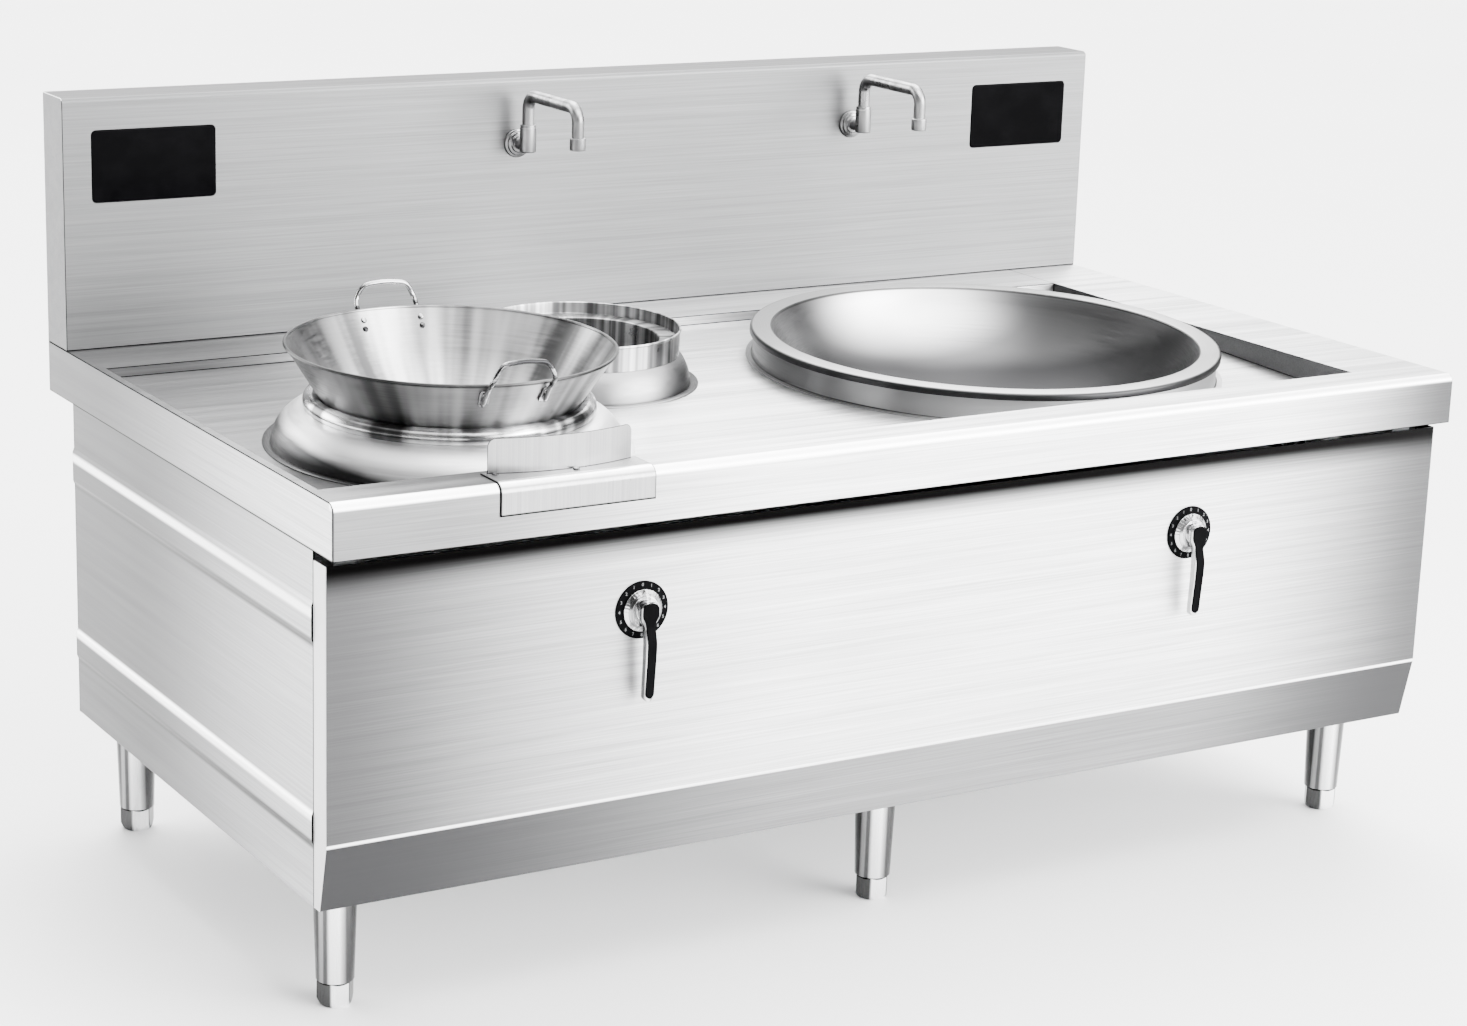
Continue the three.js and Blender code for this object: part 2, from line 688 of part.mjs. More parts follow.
function buildWokShell() {
  const outward = [Math.sin(coneAngle), -Math.cos(coneAngle)];
  const inner = (r, h) => [r - outward[0] * wokWall, h - outward[1] * wokWall];
  const shell = turn([
    ...bowlArc(bowlRadius, 0, restAngle, 4),
    [wokConeRadius, wokConeHeight],
    [wokRimRadius, wokRimHeight],
    inner(wokRimRadius, wokRimHeight),
    inner(wokConeRadius, wokConeHeight),
    ...bowlArc(bowlRadius - wokWall, restAngle, 0, 4),
  ]);
  const bead = turn(arc(wokRimRadius - 0.5, wokRimHeight, rimWire, 0, Math.PI * 2 * (3 / 4), 3));
  const holes = [-1, 1].flatMap((side) => handleRivets(side).map(({ at, normal }) => (
    barAlong(at, normal, rivetRadius + fit, -8, 8, 6).rotate([0, 0, handleTurn]))));
  return cut(union(shell, bead), ...holes);
}

// point on the wok's outer wall, drop below the rim, offset sideways from the handle's middle
function wallPoint(side, across, drop) {
  const radius = wokRimRadius - (drop * coneRun) / Math.hypot(coneRun, coneRise);
  const height = wokRimHeight - (drop * coneRise) / Math.hypot(coneRun, coneRise);
  const along = Math.sqrt(radius ** 2 - across ** 2);
  const at = new THREE.Vector3(across, side * along, height);
  const normal = new THREE.Vector3(across, side * along, 0).normalize().multiplyScalar(Math.sin(coneAngle));
  normal.z = -Math.cos(coneAngle);
  return { at, normal };
}

function handleRivets(side) {
  return [-1, 1].flatMap((end) => [-1, 1].map((step) => (
    wallPoint(side, (end * handleSpan) / 2, handleFootDrop + (step * rivetPitch) / 2))));
}

// round bar along a direction through a point, from a to b along it
function barAlong(at, direction, radius, a, b, segments) {
  const turnTo = new THREE.Quaternion().setFromUnitVectors(new THREE.Vector3(0, 0, 1), direction);
  const matrix = new THREE.Matrix4().makeRotationFromQuaternion(turnTo).setPosition(at);
  return cylinder(radius, a, b, segments).transform(matrix.elements);
}

function buildWokHandle(side) {
  const clear = 0.45 + padThick;
  const feet = [-1, 1].map((end) => wallPoint(side, (end * handleSpan) / 2, handleFootDrop));
  const upWall = (end) => new THREE.Vector3(
    (end * handleSpan) / 2, side * wokConeRadius, 0).normalize().multiplyScalar(Math.cos(coneAngle))
    .setZ(Math.sin(coneAngle));
  const pads = feet.map(({ at, normal }, i) => {
    const up = upWall(i === 0 ? -1 : 1);
    const across = new THREE.Vector3().crossVectors(up, normal);
    const frame = new THREE.Matrix4().makeBasis(across, up, normal).setPosition(at);
    return prismZ(roundedRect(padWide, padHigh, 5), 0.45, clear, 1).transform(frame.elements);
  });
  const rivets = handleRivets(side).map(({ at, normal }) => union(
    barAlong(at, normal, rivetRadius, -wokWall - rivetSeat - rivetHeadThick, clear, 6),
    barAlong(at, normal, rivetHead, -wokWall - rivetSeat - rivetHeadThick, -wokWall - rivetSeat, 8),
    barAlong(at, normal, rivetHead, clear - 0.5, clear + rivetHeadThick, 8),
  ));
  const rodAt = (end, drop, lift) => {
    const { at, normal } = wallPoint(side, (end * handleSpan) / 2, drop);
    return at.addScaledVector(normal, lift);
  };
  const loopTop = wokRimHeight + handleRise - handleRod;
  const outward = side * (wokRimRadius + handleLean);
  const half = handleSpan / 2;
  const crown = [[-0.98, -22], [-0.72, -4], [-0.3, 0], [0.3, 0], [0.72, -4], [0.98, -22]];
  const path = new THREE.CatmullRomCurve3([
    rodAt(-1, handleFootDrop + 6, clear + handleRod - 1.5),
    rodAt(-1, handleFootDrop - 16, clear + handleRod),
    ...crown.map(([share, drop]) => new THREE.Vector3(share * half, outward, loopTop + drop)),
    rodAt(1, handleFootDrop - 16, clear + handleRod),
    rodAt(1, handleFootDrop + 6, clear + handleRod - 1.5),
  ]);
  const section = new THREE.Shape().absarc(0, 0, handleRod, 0, Math.PI * 2);
  const rod = new THREE.ExtrudeGeometry(section, { steps: 16, curveSegments: 4, extrudePath: path });
  return union(toSolid(rod), ...pads, ...rivets).rotate([0, 0, handleTurn]);
}

function buildRestRing() {
  return turn(arc(rollCentre, rollHeight, rollRadius, 0, Math.PI * 2 * (7 / 8), 7));
}

const ceramicInner = bowlRadius + ceramicGap;
const ceramicOuter = ceramicInner + ceramicWall;
const ceramicAngle = (radius, height) => Math.acos((bowlCentre - height) / radius);

function buildCeramicBowl() {
  const lip = shelfHeight + domeWall + fit;
  const lipTop = lip + ceramicWall;
  const innerEnd = ceramicAngle(ceramicInner, lipTop);
  const outerEnd = ceramicAngle(ceramicOuter, lip);
  const reach = ceramicInner * Math.sin(innerEnd) + ceramicLip;
  return turn([
    ...bowlArc(ceramicInner, 0, innerEnd, 5),
    [reach, lipTop], [reach, lip],
    ...bowlArc(ceramicOuter, outerEnd, 0, 5),
  ]);
}

function buildDomeCollar() {
  const shelfTop = shelfHeight + domeWall;
  const shelfInner = ceramicOuter * Math.sin(ceramicAngle(ceramicOuter, shelfTop)) + 1;
  const seat = rollCentre + (rollRadius + fit) * Math.cos(seatAngle);
  const top = rollHeight - (rollRadius + fit) * Math.sin(seatAngle);
  const wall = [
    ...domeCurve.map(([inward, height]) => [domeFootRadius - inward, height]),
    [domeFootRadius - domeCrown, top - domeLip],
  ];
  const inside = wall.map(([r, h]) => [r - domeWall, h - domeWall * wallSlant]).reverse();
  return turn([
    [domeFlangeRadius, fit], [domeFlangeRadius, fit + domeWall], ...wall, [seat, top],
    [seat - domeWall, top - 1.8], [seat - domeWall, shelfTop],
    [shelfInner, shelfTop], [shelfInner, shelfHeight], [seat, shelfHeight],
    [seat, top - 2.2], ...inside, [domeFootRadius - domeWall, fit],
  ]);
}

function buildCoil(centre, bowl, { inner, outer, thick }, segments) {
  const radius = bowl + coilGap;
  const from = Math.asin(inner / radius);
  const to = Math.asin(outer / radius);
  const spherical = (r, a, b) => arc(0, centre, r, a - Math.PI / 2, b - Math.PI / 2, 5);
  return turn([...spherical(radius, from, to), ...spherical(radius + thick, to, from)], segments);
}

// ---------------------------------------------------------------- tail station

function buildTailDome() {
  const bottom = tailShoulder - domeWall;
  const wall = [
    ...tailCurve.map(([inward, height]) => [tailFootRadius - inward, height]),
    [tailRingRadius, bottom],
  ];
  const inside = wall.map(([r, h]) => [r - domeWall, h - domeWall * wallSlant]).reverse();
  const dome = turn([
    [tailFlangeRadius, fit], [tailFlangeRadius, fit + domeWall], ...wall,
    [tailRingRadius - tailSeatReach, bottom + seatRise],
    [tailRingRadius - tailSeatReach, bottom + seatRise - domeWall],
    ...inside, [tailFootRadius - domeWall, fit],
  ]);
  const neighbour = cylinder(domeFlangeRadius + 1, -1, 5, 48).translate([
    wokStation.x - tailStation.x, (wokStation.y - tailStation.y) / Math.cos(fall), 0]);
  return cut(dome, neighbour);
}

function buildTailRing() {
  const inner = tailRingRadius - tailRingWall;
  const bottom = tailShoulder - domeWall + seatRise + fit;
  const beadHeight = tailRingHeight - tailBead;
  return turn([
    [tailRingRadius, bottom], [tailRingRadius, beadHeight - tailBead / 2],
    [tailRingRadius + tailBead, beadHeight], [tailRingRadius + tailBead / 2, tailRingHeight],
    [inner, tailRingHeight], [inner, tailShelf + tailRingWall],
    [tailRingRadius - tailShelfReach, tailShelf], [tailRingRadius - tailShelfReach, tailShelf - domeWall],
    [inner, tailShelf - domeWall], [inner, bottom],
  ]);
}

function buildTailWell() {
  const lip = tailShelf + tailRingWall + fit;
  const bottom = lip - wellDepth;
  const reach = tailRingRadius - tailRingWall - wellLipGap;
  const corner = arc(wellRadius - wellRound, bottom + wellRound, wellRound, 0, -Math.PI / 2, 2);
  const innerCorner = arc(
    wellRadius - wellRound, bottom + wellRound, wellRound - wellWall, -Math.PI / 2, 0, 2);
  return turn([
    [reach, lip], [reach, lip + wellWall], [wellRadius - wellWall, lip + wellWall],
    ...innerCorner.reverse(), [0, bottom + wellWall],
    [0, bottom], ...corner.reverse(), [wellRadius, lip],
  ]);
}

// ---------------------------------------------------------------- large wok

const bigBowlRadius = (bigMouthRadius ** 2 + bigWokDepth ** 2) / (2 * bigWokDepth);
const bigBowlCentre = bigRimHeight - bigWokDepth + bigBowlRadius;

function buildBigWok() {
  const mouthAngle = Math.asin(bigMouthRadius / bigBowlRadius);
  const outerRadius = bigBowlRadius + bigWokWall;
  const sphere = (r, a, b) => arc(0, bigBowlCentre, r, a - Math.PI / 2, b - Math.PI / 2, 7);
  const under = bigRimHeight - bigWokWall;
  const underAngle = Math.acos((bigBowlCentre - under) / outerRadius);
  return turn([
    ...sphere(outerRadius, 0, underAngle),
    [bigRimRadius - bigWokWall, under], [bigRimRadius - bigWokWall, bigRimHeight - bigRimEdge],
    [bigRimRadius, bigRimHeight - bigRimEdge], [bigRimRadius, bigRimHeight - bigRimRound],
    [bigRimRadius - bigRimRound, bigRimHeight],
    ...sphere(bigBowlRadius, mouthAngle, 0),
  ], bigFacets);
}

function buildBigSkirt() {
  const top = bigRimHeight - bigWokWall - fit;
  return turn([
    [bigFlangeRadius, fit], [bigFlangeRadius, fit + sheet], [bigSkirtRadius, fit + sheet],
    [bigSkirtRadius, top], [bigSkirtRadius - bigSkirtWall, top], [bigSkirtRadius - bigSkirtWall, fit],
  ], bigFacets);
}

// ---------------------------------------------------------------- drain and guard

function buildDrain() {
  const body = turn([
    [0, fit + 2], [drain.radius, fit + 2], [drain.radius, fit], [drain.bore, fit],
    [drain.bore, -12], [drain.pipe, -20], [drain.pipe, -drain.drop],
    [drain.pipe - 2, -drain.drop], [drain.pipe - 2, -19], [0, -19 + 18],
  ], 16);
  const chamber = turn([
    [0, fit], [drain.bore - 2, fit], [drain.bore - 2, -11], [drain.pipe - 2, -19],
    [drain.pipe - 2, -drain.drop - 1], [0, -drain.drop - 1],
  ], 16);
  const holes = [cylinder(drain.hole, -2, 5, 6)];
  for (let i = 0; i < drain.holes - 1; i += 1) {
    const angle = (i * Math.PI * 2) / (drain.holes - 1);
    holes.push(cylinder(drain.hole, -2, 5, 6).translate([14 * Math.cos(angle), 14 * Math.sin(angle), 0]));
  }
  return cut(body, chamber, ...holes);
}

function buildGuard() {
  const front = -fit - sheet;
  const under = rimTop + fit;
  const round = rimRound + fit;
  const hook = new THREE.Shape();
  hook.moveTo(guard.plateBack, under);
  hook.lineTo(guard.plateBack, under + sheet);
  hook.lineTo(rimRound, under + sheet);
  hook.absarc(rimRound, rimTop - rimRound, round + sheet, Math.PI / 2, Math.PI);
  hook.lineTo(front, under - guard.flange);
  hook.lineTo(front + sheet, under - guard.flange);
  hook.lineTo(front + sheet, rimTop - rimRound);
  hook.absarc(rimRound, rimTop - rimRound, round, Math.PI, Math.PI / 2, true);
  const half = guard.width / 2;
  const plate = prismX(hook, guardX - half, guardX + half, 6);

  const swing = Math.asin(guardReach / 2 / guardArc);
  const centreY = guardMid + guardArc;
  const ring = new THREE.Shape();
  ring.absarc(guardX, centreY, guardArc + sheet, -Math.PI / 2 - swing, -Math.PI / 2 + swing);
  ring.absarc(guardX, centreY, guardArc, -Math.PI / 2 + swing, -Math.PI / 2 - swing, true);
  const low = under + sheet - 0.5;
  const high = rimTop + guard.rise;
  const curved = prismZ(ring, low, high, 12);
  const outline = roundedRect(guardReach, 2 * (high - low), guardCorner);
  const trim = prismY(outline, 0, ledgeFront + 40, 5).translate([guardX, 0, low]);
  const screws = guardScrews.map(({ x, y }) => union(
    cylinder(screw.head, under + sheet - 0.5, under + sheet + screw.headHigh, 12),
    cylinder(screw.shank, rimTop - screw.long, under + sheet, 10),
  ).translate([x, y, 0]));
  return union(plate, curved.intersect(trim), ...screws);
}

// ---------------------------------------------------------------- faucets

const faucetAxisY = backsplashFront - faucetStandoff;

function buildFaucetBody({ x }) {
  const wall = backsplashFront - fit;
  const flange = turn([
    [0, 0], [faucetFlange, 0], [faucetFlange, 2], [faucetFlange - 6, 6], [faucetFlange - 9, 9], [0, 9],
  ], 20).transform(new THREE.Matrix4().makeRotationX(Math.PI / 2).setPosition(x, wall, faucetZ).elements);
  const stub = rodY(faucetBody.stub, x, faucetZ, faucetAxisY, wall - 5);
  const tail = rodY(faucetStem.radius + 2, x, faucetZ, wall - 1, backsplashFront + 34);
  const nut = rodY(faucetFlange - 7, x, faucetZ, backsplashFront + sheet + fit, backsplashFront + 12, 6);
  const tube = cylinder(faucetBody.radius, faucetZ - faucetBody.below, faucetZ + faucetBody.above, 18);
  const bore = cylinder(faucetStem.radius + runningFit,
    faucetZ + faucetBody.above - faucetStem.long - 1, faucetZ + faucetBody.above + 1, shaftFacets);
  const upright = (solid) => solid.translate([x, faucetAxisY, 0]);
  return cut(union(flange, stub, tail, nut, upright(tube)), upright(bore));
}

// spout drawn in its own plane: y forwards is negative, swivel axis at the origin
function buildSpout({ x }) {
  const seat = faucetZ + faucetBody.above + fit;
  const point = (y, z) => new THREE.Vector3(0, y, z);
  const path = new THREE.CurvePath();
  path.add(new THREE.LineCurve3(point(0, seat), point(0, spoutTop - spoutFirstBend)));
  path.add(new THREE.QuadraticBezierCurve3(
    point(0, spoutTop - spoutFirstBend), point(0, spoutTop), point(-spoutFirstBend, spoutTop)));
  path.add(new THREE.LineCurve3(
    point(-spoutFirstBend, spoutTop), point(-spoutReach + spoutLastBend, spoutTop)));
  path.add(new THREE.QuadraticBezierCurve3(point(-spoutReach + spoutLastBend, spoutTop),
    point(-spoutReach, spoutTop), point(-spoutReach, spoutTop - spoutLastBend)));
  path.add(new THREE.LineCurve3(
    point(-spoutReach, spoutTop - spoutLastBend), point(-spoutReach, outletZ + sleeve.high - sleeve.bury)));
  const section = new THREE.Shape().absarc(0, 0, spoutRadius, 0, Math.PI * 2);
  const pipe = toSolid(new THREE.ExtrudeGeometry(section, {
    steps: 18, curveSegments: 5, extrudePath: path }));
  const stem = cylinder(faucetStem.radius, seat - faucetStem.long, seat + 2, shaftFacets);
  const outlet = cylinder(sleeve.radius, outletZ, outletZ + sleeve.high, 14)
    .translate([0, -spoutReach, 0]);
  const bore = cylinder(sleeve.radius - sleeve.wall, outletZ - 1, outletZ + sleeve.high / 2, 12)
    .translate([0, -spoutReach, 0]);
  return cut(union(pipe, stem, outlet), bore).translate([x, faucetAxisY, 0]);
}

// ---------------------------------------------------------------- lever switches

// outline of the lever seen from the front: boss on top, neck and round end
function leverOutline(inset, endInset) {
  const boss = leverBoss.wide / 2 - inset;
  const neck = leverBar.neckWide / 2 - inset;
  const tip = leverBar.tipWide / 2 - inset;
  const top = leverBoss.top - inset;
  const round = leverBoss.round - inset;
  const end = -leverBar.length + endInset;
  const shape = new THREE.Shape();
  shape.moveTo(boss, top - round);
  shape.lineTo(boss, -7);
  shape.bezierCurveTo(boss, -15, neck, -13, neck, -21);
  shape.lineTo(neck, -50);
  shape.bezierCurveTo(neck, -75, tip, -90, tip, end + tip);
  shape.absarc(0, end + tip, tip, 0, -Math.PI, true);
  shape.bezierCurveTo(-tip, -90, -neck, -75, -neck, -50);
  shape.lineTo(-neck, -21);
  shape.bezierCurveTo(-neck, -13, -boss, -15, -boss, -7);
  shape.absarc(-boss + round, top - round, round, Math.PI, Math.PI / 2, true);
  shape.absarc(boss - round, top - round, round, Math.PI / 2, 0, true);
  return shape;
}

// slab between two bent faces, cut to the lever's outline
function leverSlab(x, front, back, backBend, inset, endInset) {
  const line = (y, share) => leverBend.map(([z, forward]) => new THREE.Vector2(y - forward * share, z));
  const side = new THREE.Shape([...line(front, 1), ...line(back, backBend).reverse()]);
  const half = leverBoss.wide / 2 + 1;
  return prismX(side, -half, half, 1)
    .intersect(prismY(leverOutline(inset, endInset), leverFaceY - 1, hubBack, 3))
    .translate([x, 0, leverZ]);
}

function buildDial({ x }) {
  const back = frontOverhang - fit;
  return cut(
    rodY(dialRadius, x, leverZ, back - dialThick, back, 32),
    rodY(shaft.radius + 2, x, leverZ, back - dialThick - 1, back + 1),
  );
}

const hubBack = frontOverhang - fit - dialThick - fit;

function buildLever({ x }) {
  const cone = turn([
    [0, 0], [hub.base, 0], [hub.base, 3], [hub.nose + 5, hub.deep * 0.55], [hub.nose + 5, hub.deep * 0.7],
    [hub.nose, hub.deep], [hub.neck, hub.deep], [hub.neck, hub.deep + hub.neckDeep + 1],
    [0, hub.deep + hub.neckDeep + 1],
  ], 24).transform(new THREE.Matrix4().makeRotationX(Math.PI / 2).setPosition(x, hubBack, leverZ).elements);
  const barBack = hubBack - hub.deep - hub.neckDeep;
  const bar = leverSlab(x, barBack - leverBar.thick, barBack, leverBackBend, 0, 0);
  const spindle = rodY(shaft.radius, x, leverZ, hubBack - 1, hubBack + shaft.long, shaftFacets);
  return union(cone, bar, spindle);
}

function buildGrip({ x }) {
  const back = hubBack - hub.deep - hub.neckDeep - leverBar.thick - fit;
  return leverSlab(x, back - grip.thick, back, 1, grip.inset, grip.endInset);
}

function buildSwitch({ x }) {
  const front = frontOverhang + sheet + fit;
  const half = switchBox.wide / 2;
  const block = box([x - half, x + half], [front, front + switchBox.deep], [leverZ - half, leverZ + half]);
  const bore = rodY(shaft.radius + runningFit, x, leverZ, front - 1, hubBack + shaft.long + fit, shaftFacets);
  return cut(block, bore);
}

// ---------------------------------------------------------------- electronics and inlet

function buildInverter({ x, y, wide, deep, high }) {
  const low = frameZ;
  const shell = (inset, z) => box(
    [x - wide / 2 + inset, x + wide / 2 - inset], [y - deep / 2 + inset, y + deep / 2 - inset], z);
  const housing = cut(shell(0, [low, low + high]), shell(housingWall, [low - 1, low + high - housingWall]));
  const parts = [housing];
  for (let i = 0; i < fins.count; i += 1) {
    const at = y - deep / 2 + ((i + 0.5) * deep) / fins.count;
    const finX = [x + wide / 2 - 1, x + wide / 2 + fins.high];
    parts.push(box(finX, [at - fins.thick / 2, at + fins.thick / 2], [low + 10, low + high - 10]));
  }
  const fanRing = cut(
    cylinder(fan.radius, low + high - 1, low + high + fan.high, 20),
    cylinder(fan.radius - fan.wall, low + high + 4, low + high + fan.high + 1, 20),
  );
  const reach = fan.radius - fan.wall + 1;
  const cross = [
    box([-reach, reach], [-fan.spoke / 2, fan.spoke / 2], [low + high + 3, low + high + 10]),
    box([-fan.spoke / 2, fan.spoke / 2], [-reach, reach], [low + high + 3, low + high + 10]),
    cylinder(fan.hub, low + high + 3, low + high + fan.high - 3, 12),
  ];
  parts.push(union(fanRing, ...cross).translate([x, y, 0]));
  return union(...parts);
}

function buildGland() {
  const thread = rodY(gland.thread, glandX, glandZ, cabinetBack - sheet - gland.inside, cabinetBack + 2);
  const outer = rodY(gland.radius, glandX, glandZ, cabinetBack + fit, cabinetBack + gland.out, 16);
  const nut = rodY(gland.radius, glandX, glandZ,
    cabinetBack - sheet - fit - 8, cabinetBack - sheet - fit, 6);
  const bore = rodY(gland.bore, glandX, glandZ,
    cabinetBack - sheet - gland.inside - 1, cabinetBack + gland.out + 1, 16);
  return cut(union(thread, outer, nut), bore);
}

// ---------------------------------------------------------------- assembly

place(cabinet, 'worktop', buildWorktop(), materials.brushed);
place(cabinet, 'backsplash_shell', buildBacksplash(), materials.brushed);
place(cabinet, 'backsplash_back_cover', buildBackCover(), materials.brushed);
for (const [name, side] of [['left', -1], ['right', 1]]) {
  const { glass, tray } = buildDisplay(side);
  place(cabinet, `${name}_display_glass`, glass, materials.glass);
  place(cabinet, `${name}_display_board`, tray, materials.plastic);
  place(cabinet, `${name}_side_panel`, buildSidePanel(side), materials.brushed);
}
place(cabinet, 'front_panel', buildFrontPanel(), materials.brushed);
place(cabinet, 'rear_panel', buildRearPanel(), materials.brushed);
place(cabinet, 'floor_pan', buildFloorPan(), materials.brushed);
place(cabinet, 'base_frame', angleRing(frameZ, frameZ + angleLeg, true), materials.frame);
place(cabinet, 'top_frame', angleRing(topFrameTop - angleLeg, topFrameTop, false), materials.frame);

for (const [name, sideY] of [['front', -1], ['back', 1]]) {
  for (const [hand, sideX] of [['left', -1], ['right', 1]]) {
    place(cabinet, `${name}_${hand}_post`, buildPost(sideX, sideY), materials.frame);
  }
  for (const [hand, sideX] of [['left', -1], ['middle', 0], ['right', 1]]) {
    const at = [sideX * (panelHalf - legInsetX), sideY < 0 ? legFrontY : legBackY, 0];
    place(cabinet, `${name}_${hand}_leg`, buildLeg(), materials.polished).position.set(...at);
    place(cabinet, `${name}_${hand}_foot`, buildFoot(), materials.polished).position.set(...at);
  }
}

const wokStand = station(wokStation);
place(wokStand, 'dome_collar', buildDomeCollar(), materials.polished);
place(wokStand, 'rest_ring', buildRestRing(), materials.polished);
place(wokStand, 'ceramic_bowl', buildCeramicBowl(), materials.ceramic);
place(wokStand, 'wok_coil', buildCoil(bowlCentre, ceramicOuter, wokCoil, wokFacets), materials.copper);
place(wokStand, 'small_wok', buildWokShell(), materials.brushed);
place(wokStand, 'wok_handle_front', buildWokHandle(-1), materials.polished);
place(wokStand, 'wok_handle_back', buildWokHandle(1), materials.polished);

const tailStand = station(tailStation);
place(tailStand, 'tail_dome', buildTailDome(), materials.polished);
place(tailStand, 'tail_ring', buildTailRing(), materials.polished);
place(tailStand, 'tail_well', buildTailWell(), materials.polished);

const bigStand = station(bigStation);
place(bigStand, 'big_wok', buildBigWok(), materials.brushed);
place(bigStand, 'big_wok_skirt', buildBigSkirt(), materials.brushed);
place(bigStand, 'big_wok_coil', buildCoil(bigBowlCentre, bigBowlRadius + bigWokWall, bigCoil,
  bigFacets), materials.copper);

place(station(drainAt), 'drain_strainer', buildDrain(), materials.polished);
place(cabinet, 'toss_guard', buildGuard(), materials.brushed);

for (const faucet of faucets) {
  place(cabinet, `${faucet.side}_faucet_body`, buildFaucetBody(faucet), materials.polished);
  place(cabinet, `${faucet.side}_spout`, buildSpout(faucet), materials.polished);
}
for (const lever of levers) {
  place(cabinet, `${lever.side}_dial`, buildDial(lever), materials.plastic);
  place(cabinet, `${lever.side}_lever`, buildLever(lever), materials.polished);
  place(cabinet, `${lever.side}_lever_grip`, buildGrip(lever), materials.plastic);
  place(cabinet, `${lever.side}_power_switch`, buildSwitch(lever), materials.electronics);
}
for (const inverter of inverters) place(cabinet, inverter.name, buildInverter(inverter), materials.electronics);
place(cabinet, 'cable_gland', buildGland(), materials.plastic);

group.updateMatrixWorld(true);
export default group;
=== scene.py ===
"""Looks of a commercial wok range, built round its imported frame.

Metres in the frame's axes: +X to the cook's right, +Y towards the backsplash, +Z up. Turned,
swept and lofted pieces are worked out as numpy grids. Folded sheets are bevelled copies of the
frame's own nodes.
"""

import logging
import math
from dataclasses import dataclass, replace
from enum import Enum
from typing import Callable, Optional, Sequence, Union

import bmesh
import bpy
import numpy as np
from mathutils import Matrix, Vector


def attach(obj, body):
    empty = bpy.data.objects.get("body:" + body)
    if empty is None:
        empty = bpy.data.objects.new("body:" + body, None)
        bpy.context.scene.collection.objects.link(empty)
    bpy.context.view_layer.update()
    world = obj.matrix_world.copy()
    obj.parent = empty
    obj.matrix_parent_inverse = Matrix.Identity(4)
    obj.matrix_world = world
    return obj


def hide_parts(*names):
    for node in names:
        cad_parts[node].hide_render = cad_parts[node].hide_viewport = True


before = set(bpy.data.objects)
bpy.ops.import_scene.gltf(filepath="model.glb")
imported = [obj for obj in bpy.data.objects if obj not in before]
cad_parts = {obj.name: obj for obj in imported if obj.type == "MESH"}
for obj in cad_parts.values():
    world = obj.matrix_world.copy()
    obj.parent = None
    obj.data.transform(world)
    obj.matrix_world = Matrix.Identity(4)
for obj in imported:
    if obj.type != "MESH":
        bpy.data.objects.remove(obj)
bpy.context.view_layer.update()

logging.basicConfig(level=logging.INFO, format="%(message)s")
log = logging.getLogger("wok_range")

Array = np.ndarray
Colour = tuple[float, float, float]
Placing = Callable[[Array], Array]
Socket = Union[bpy.types.NodeSocket, float]
Value = Union[Socket, Sequence[float]]

RIM_FRONT = -0.557  # world Y of the front rim face
RIM_FOOT, RIM_TOP = 0.709, 0.790  # heights of the worktop's edge
SPLASH_TOP = 1.195  # height of the backsplash
FALL = math.radians(1.8)  # slope of the recess floor, down to the front
RECESS_BACK = (0.892, 0.774)  # back edge of the recess floor: behind the rim face, height
HAIR = 0.0003  # gap between neighbouring pieces
FLANGE = 0.0018  # thickness of the flanges that lie on the worktop
TINY = 1e-12  # keeps a division by a length away from zero


# ------------------------------------------------------------------ places


class Axis(Enum):
    """One of the frame's three directions."""

    X = 0
    Y = 1
    Z = 2

    def scale(self, along: float, across: float) -> tuple[float, ...]:
        """Returns three factors: along for this direction and across for the others."""
        return tuple(along if axis is self else across for axis in Axis)


@dataclass(frozen=True)
class Station:
    """A spot on the sloping recess floor with an upright axis of its own."""

    x: float
    y: float

    @property
    def origin(self) -> Array:
        """World place of the spot on the floor."""
        drop = (RECESS_BACK[0] - self.y) * math.tan(FALL)
        return np.array([self.x, self.y + RIM_FRONT, RECESS_BACK[1] - drop])

    def place(self, local: Array) -> Array:
        """Carries local points to the world.

        Rotation by the fall about X, then a shift to the origin.

        Args:
            local: Points (..., 3) with Z along the station's upright axis.

        Returns:
            World points of the same shape.
        """
        c, s = math.cos(FALL), math.sin(FALL)
        turn = np.array([[1, 0, 0], [0, c, -s], [0, s, c]])
        return local @ turn.T + self.origin


def shifted(x: float, y: float, z: float) -> Placing:
    """Returns a placing that only shifts, with y counted from the front rim face."""
    offset = np.array([x, y + RIM_FRONT, z])
    return lambda local: local + offset


def facing_front(x: float, y: float, z: float) -> Placing:
    """Returns a placing whose local Z points at the cook (-Y) and whose local Y points up.

    Args:
        x: World X of the local origin.
        y: Distance of the origin behind the front rim face.
        z: Height of the origin.

    Returns:
        The placing.
    """
    turn = np.array([[1, 0, 0], [0, 0, -1], [0, 1, 0]])
    offset = np.array([x, y + RIM_FRONT, z])
    return lambda local: local @ turn.T + offset


# ------------------------------------------------------------------ surfaces

CAD_MERGE = 2e-6  # distance under which a frame node's loose corners are one
FLAT_ANGLE = 0.4  # degrees under which two of its triangles are one flat face
ARC_SHARE = 0.48  # most of a side that the arc at one of its ends may take
LEAST_ARC = 1e-9  # stands for a sharp corner's arc
REPEAT = 1e-6  # distance under which two points of a line are one
SHADING = 40.0  # usual edge angle in degrees above which shading stays hard


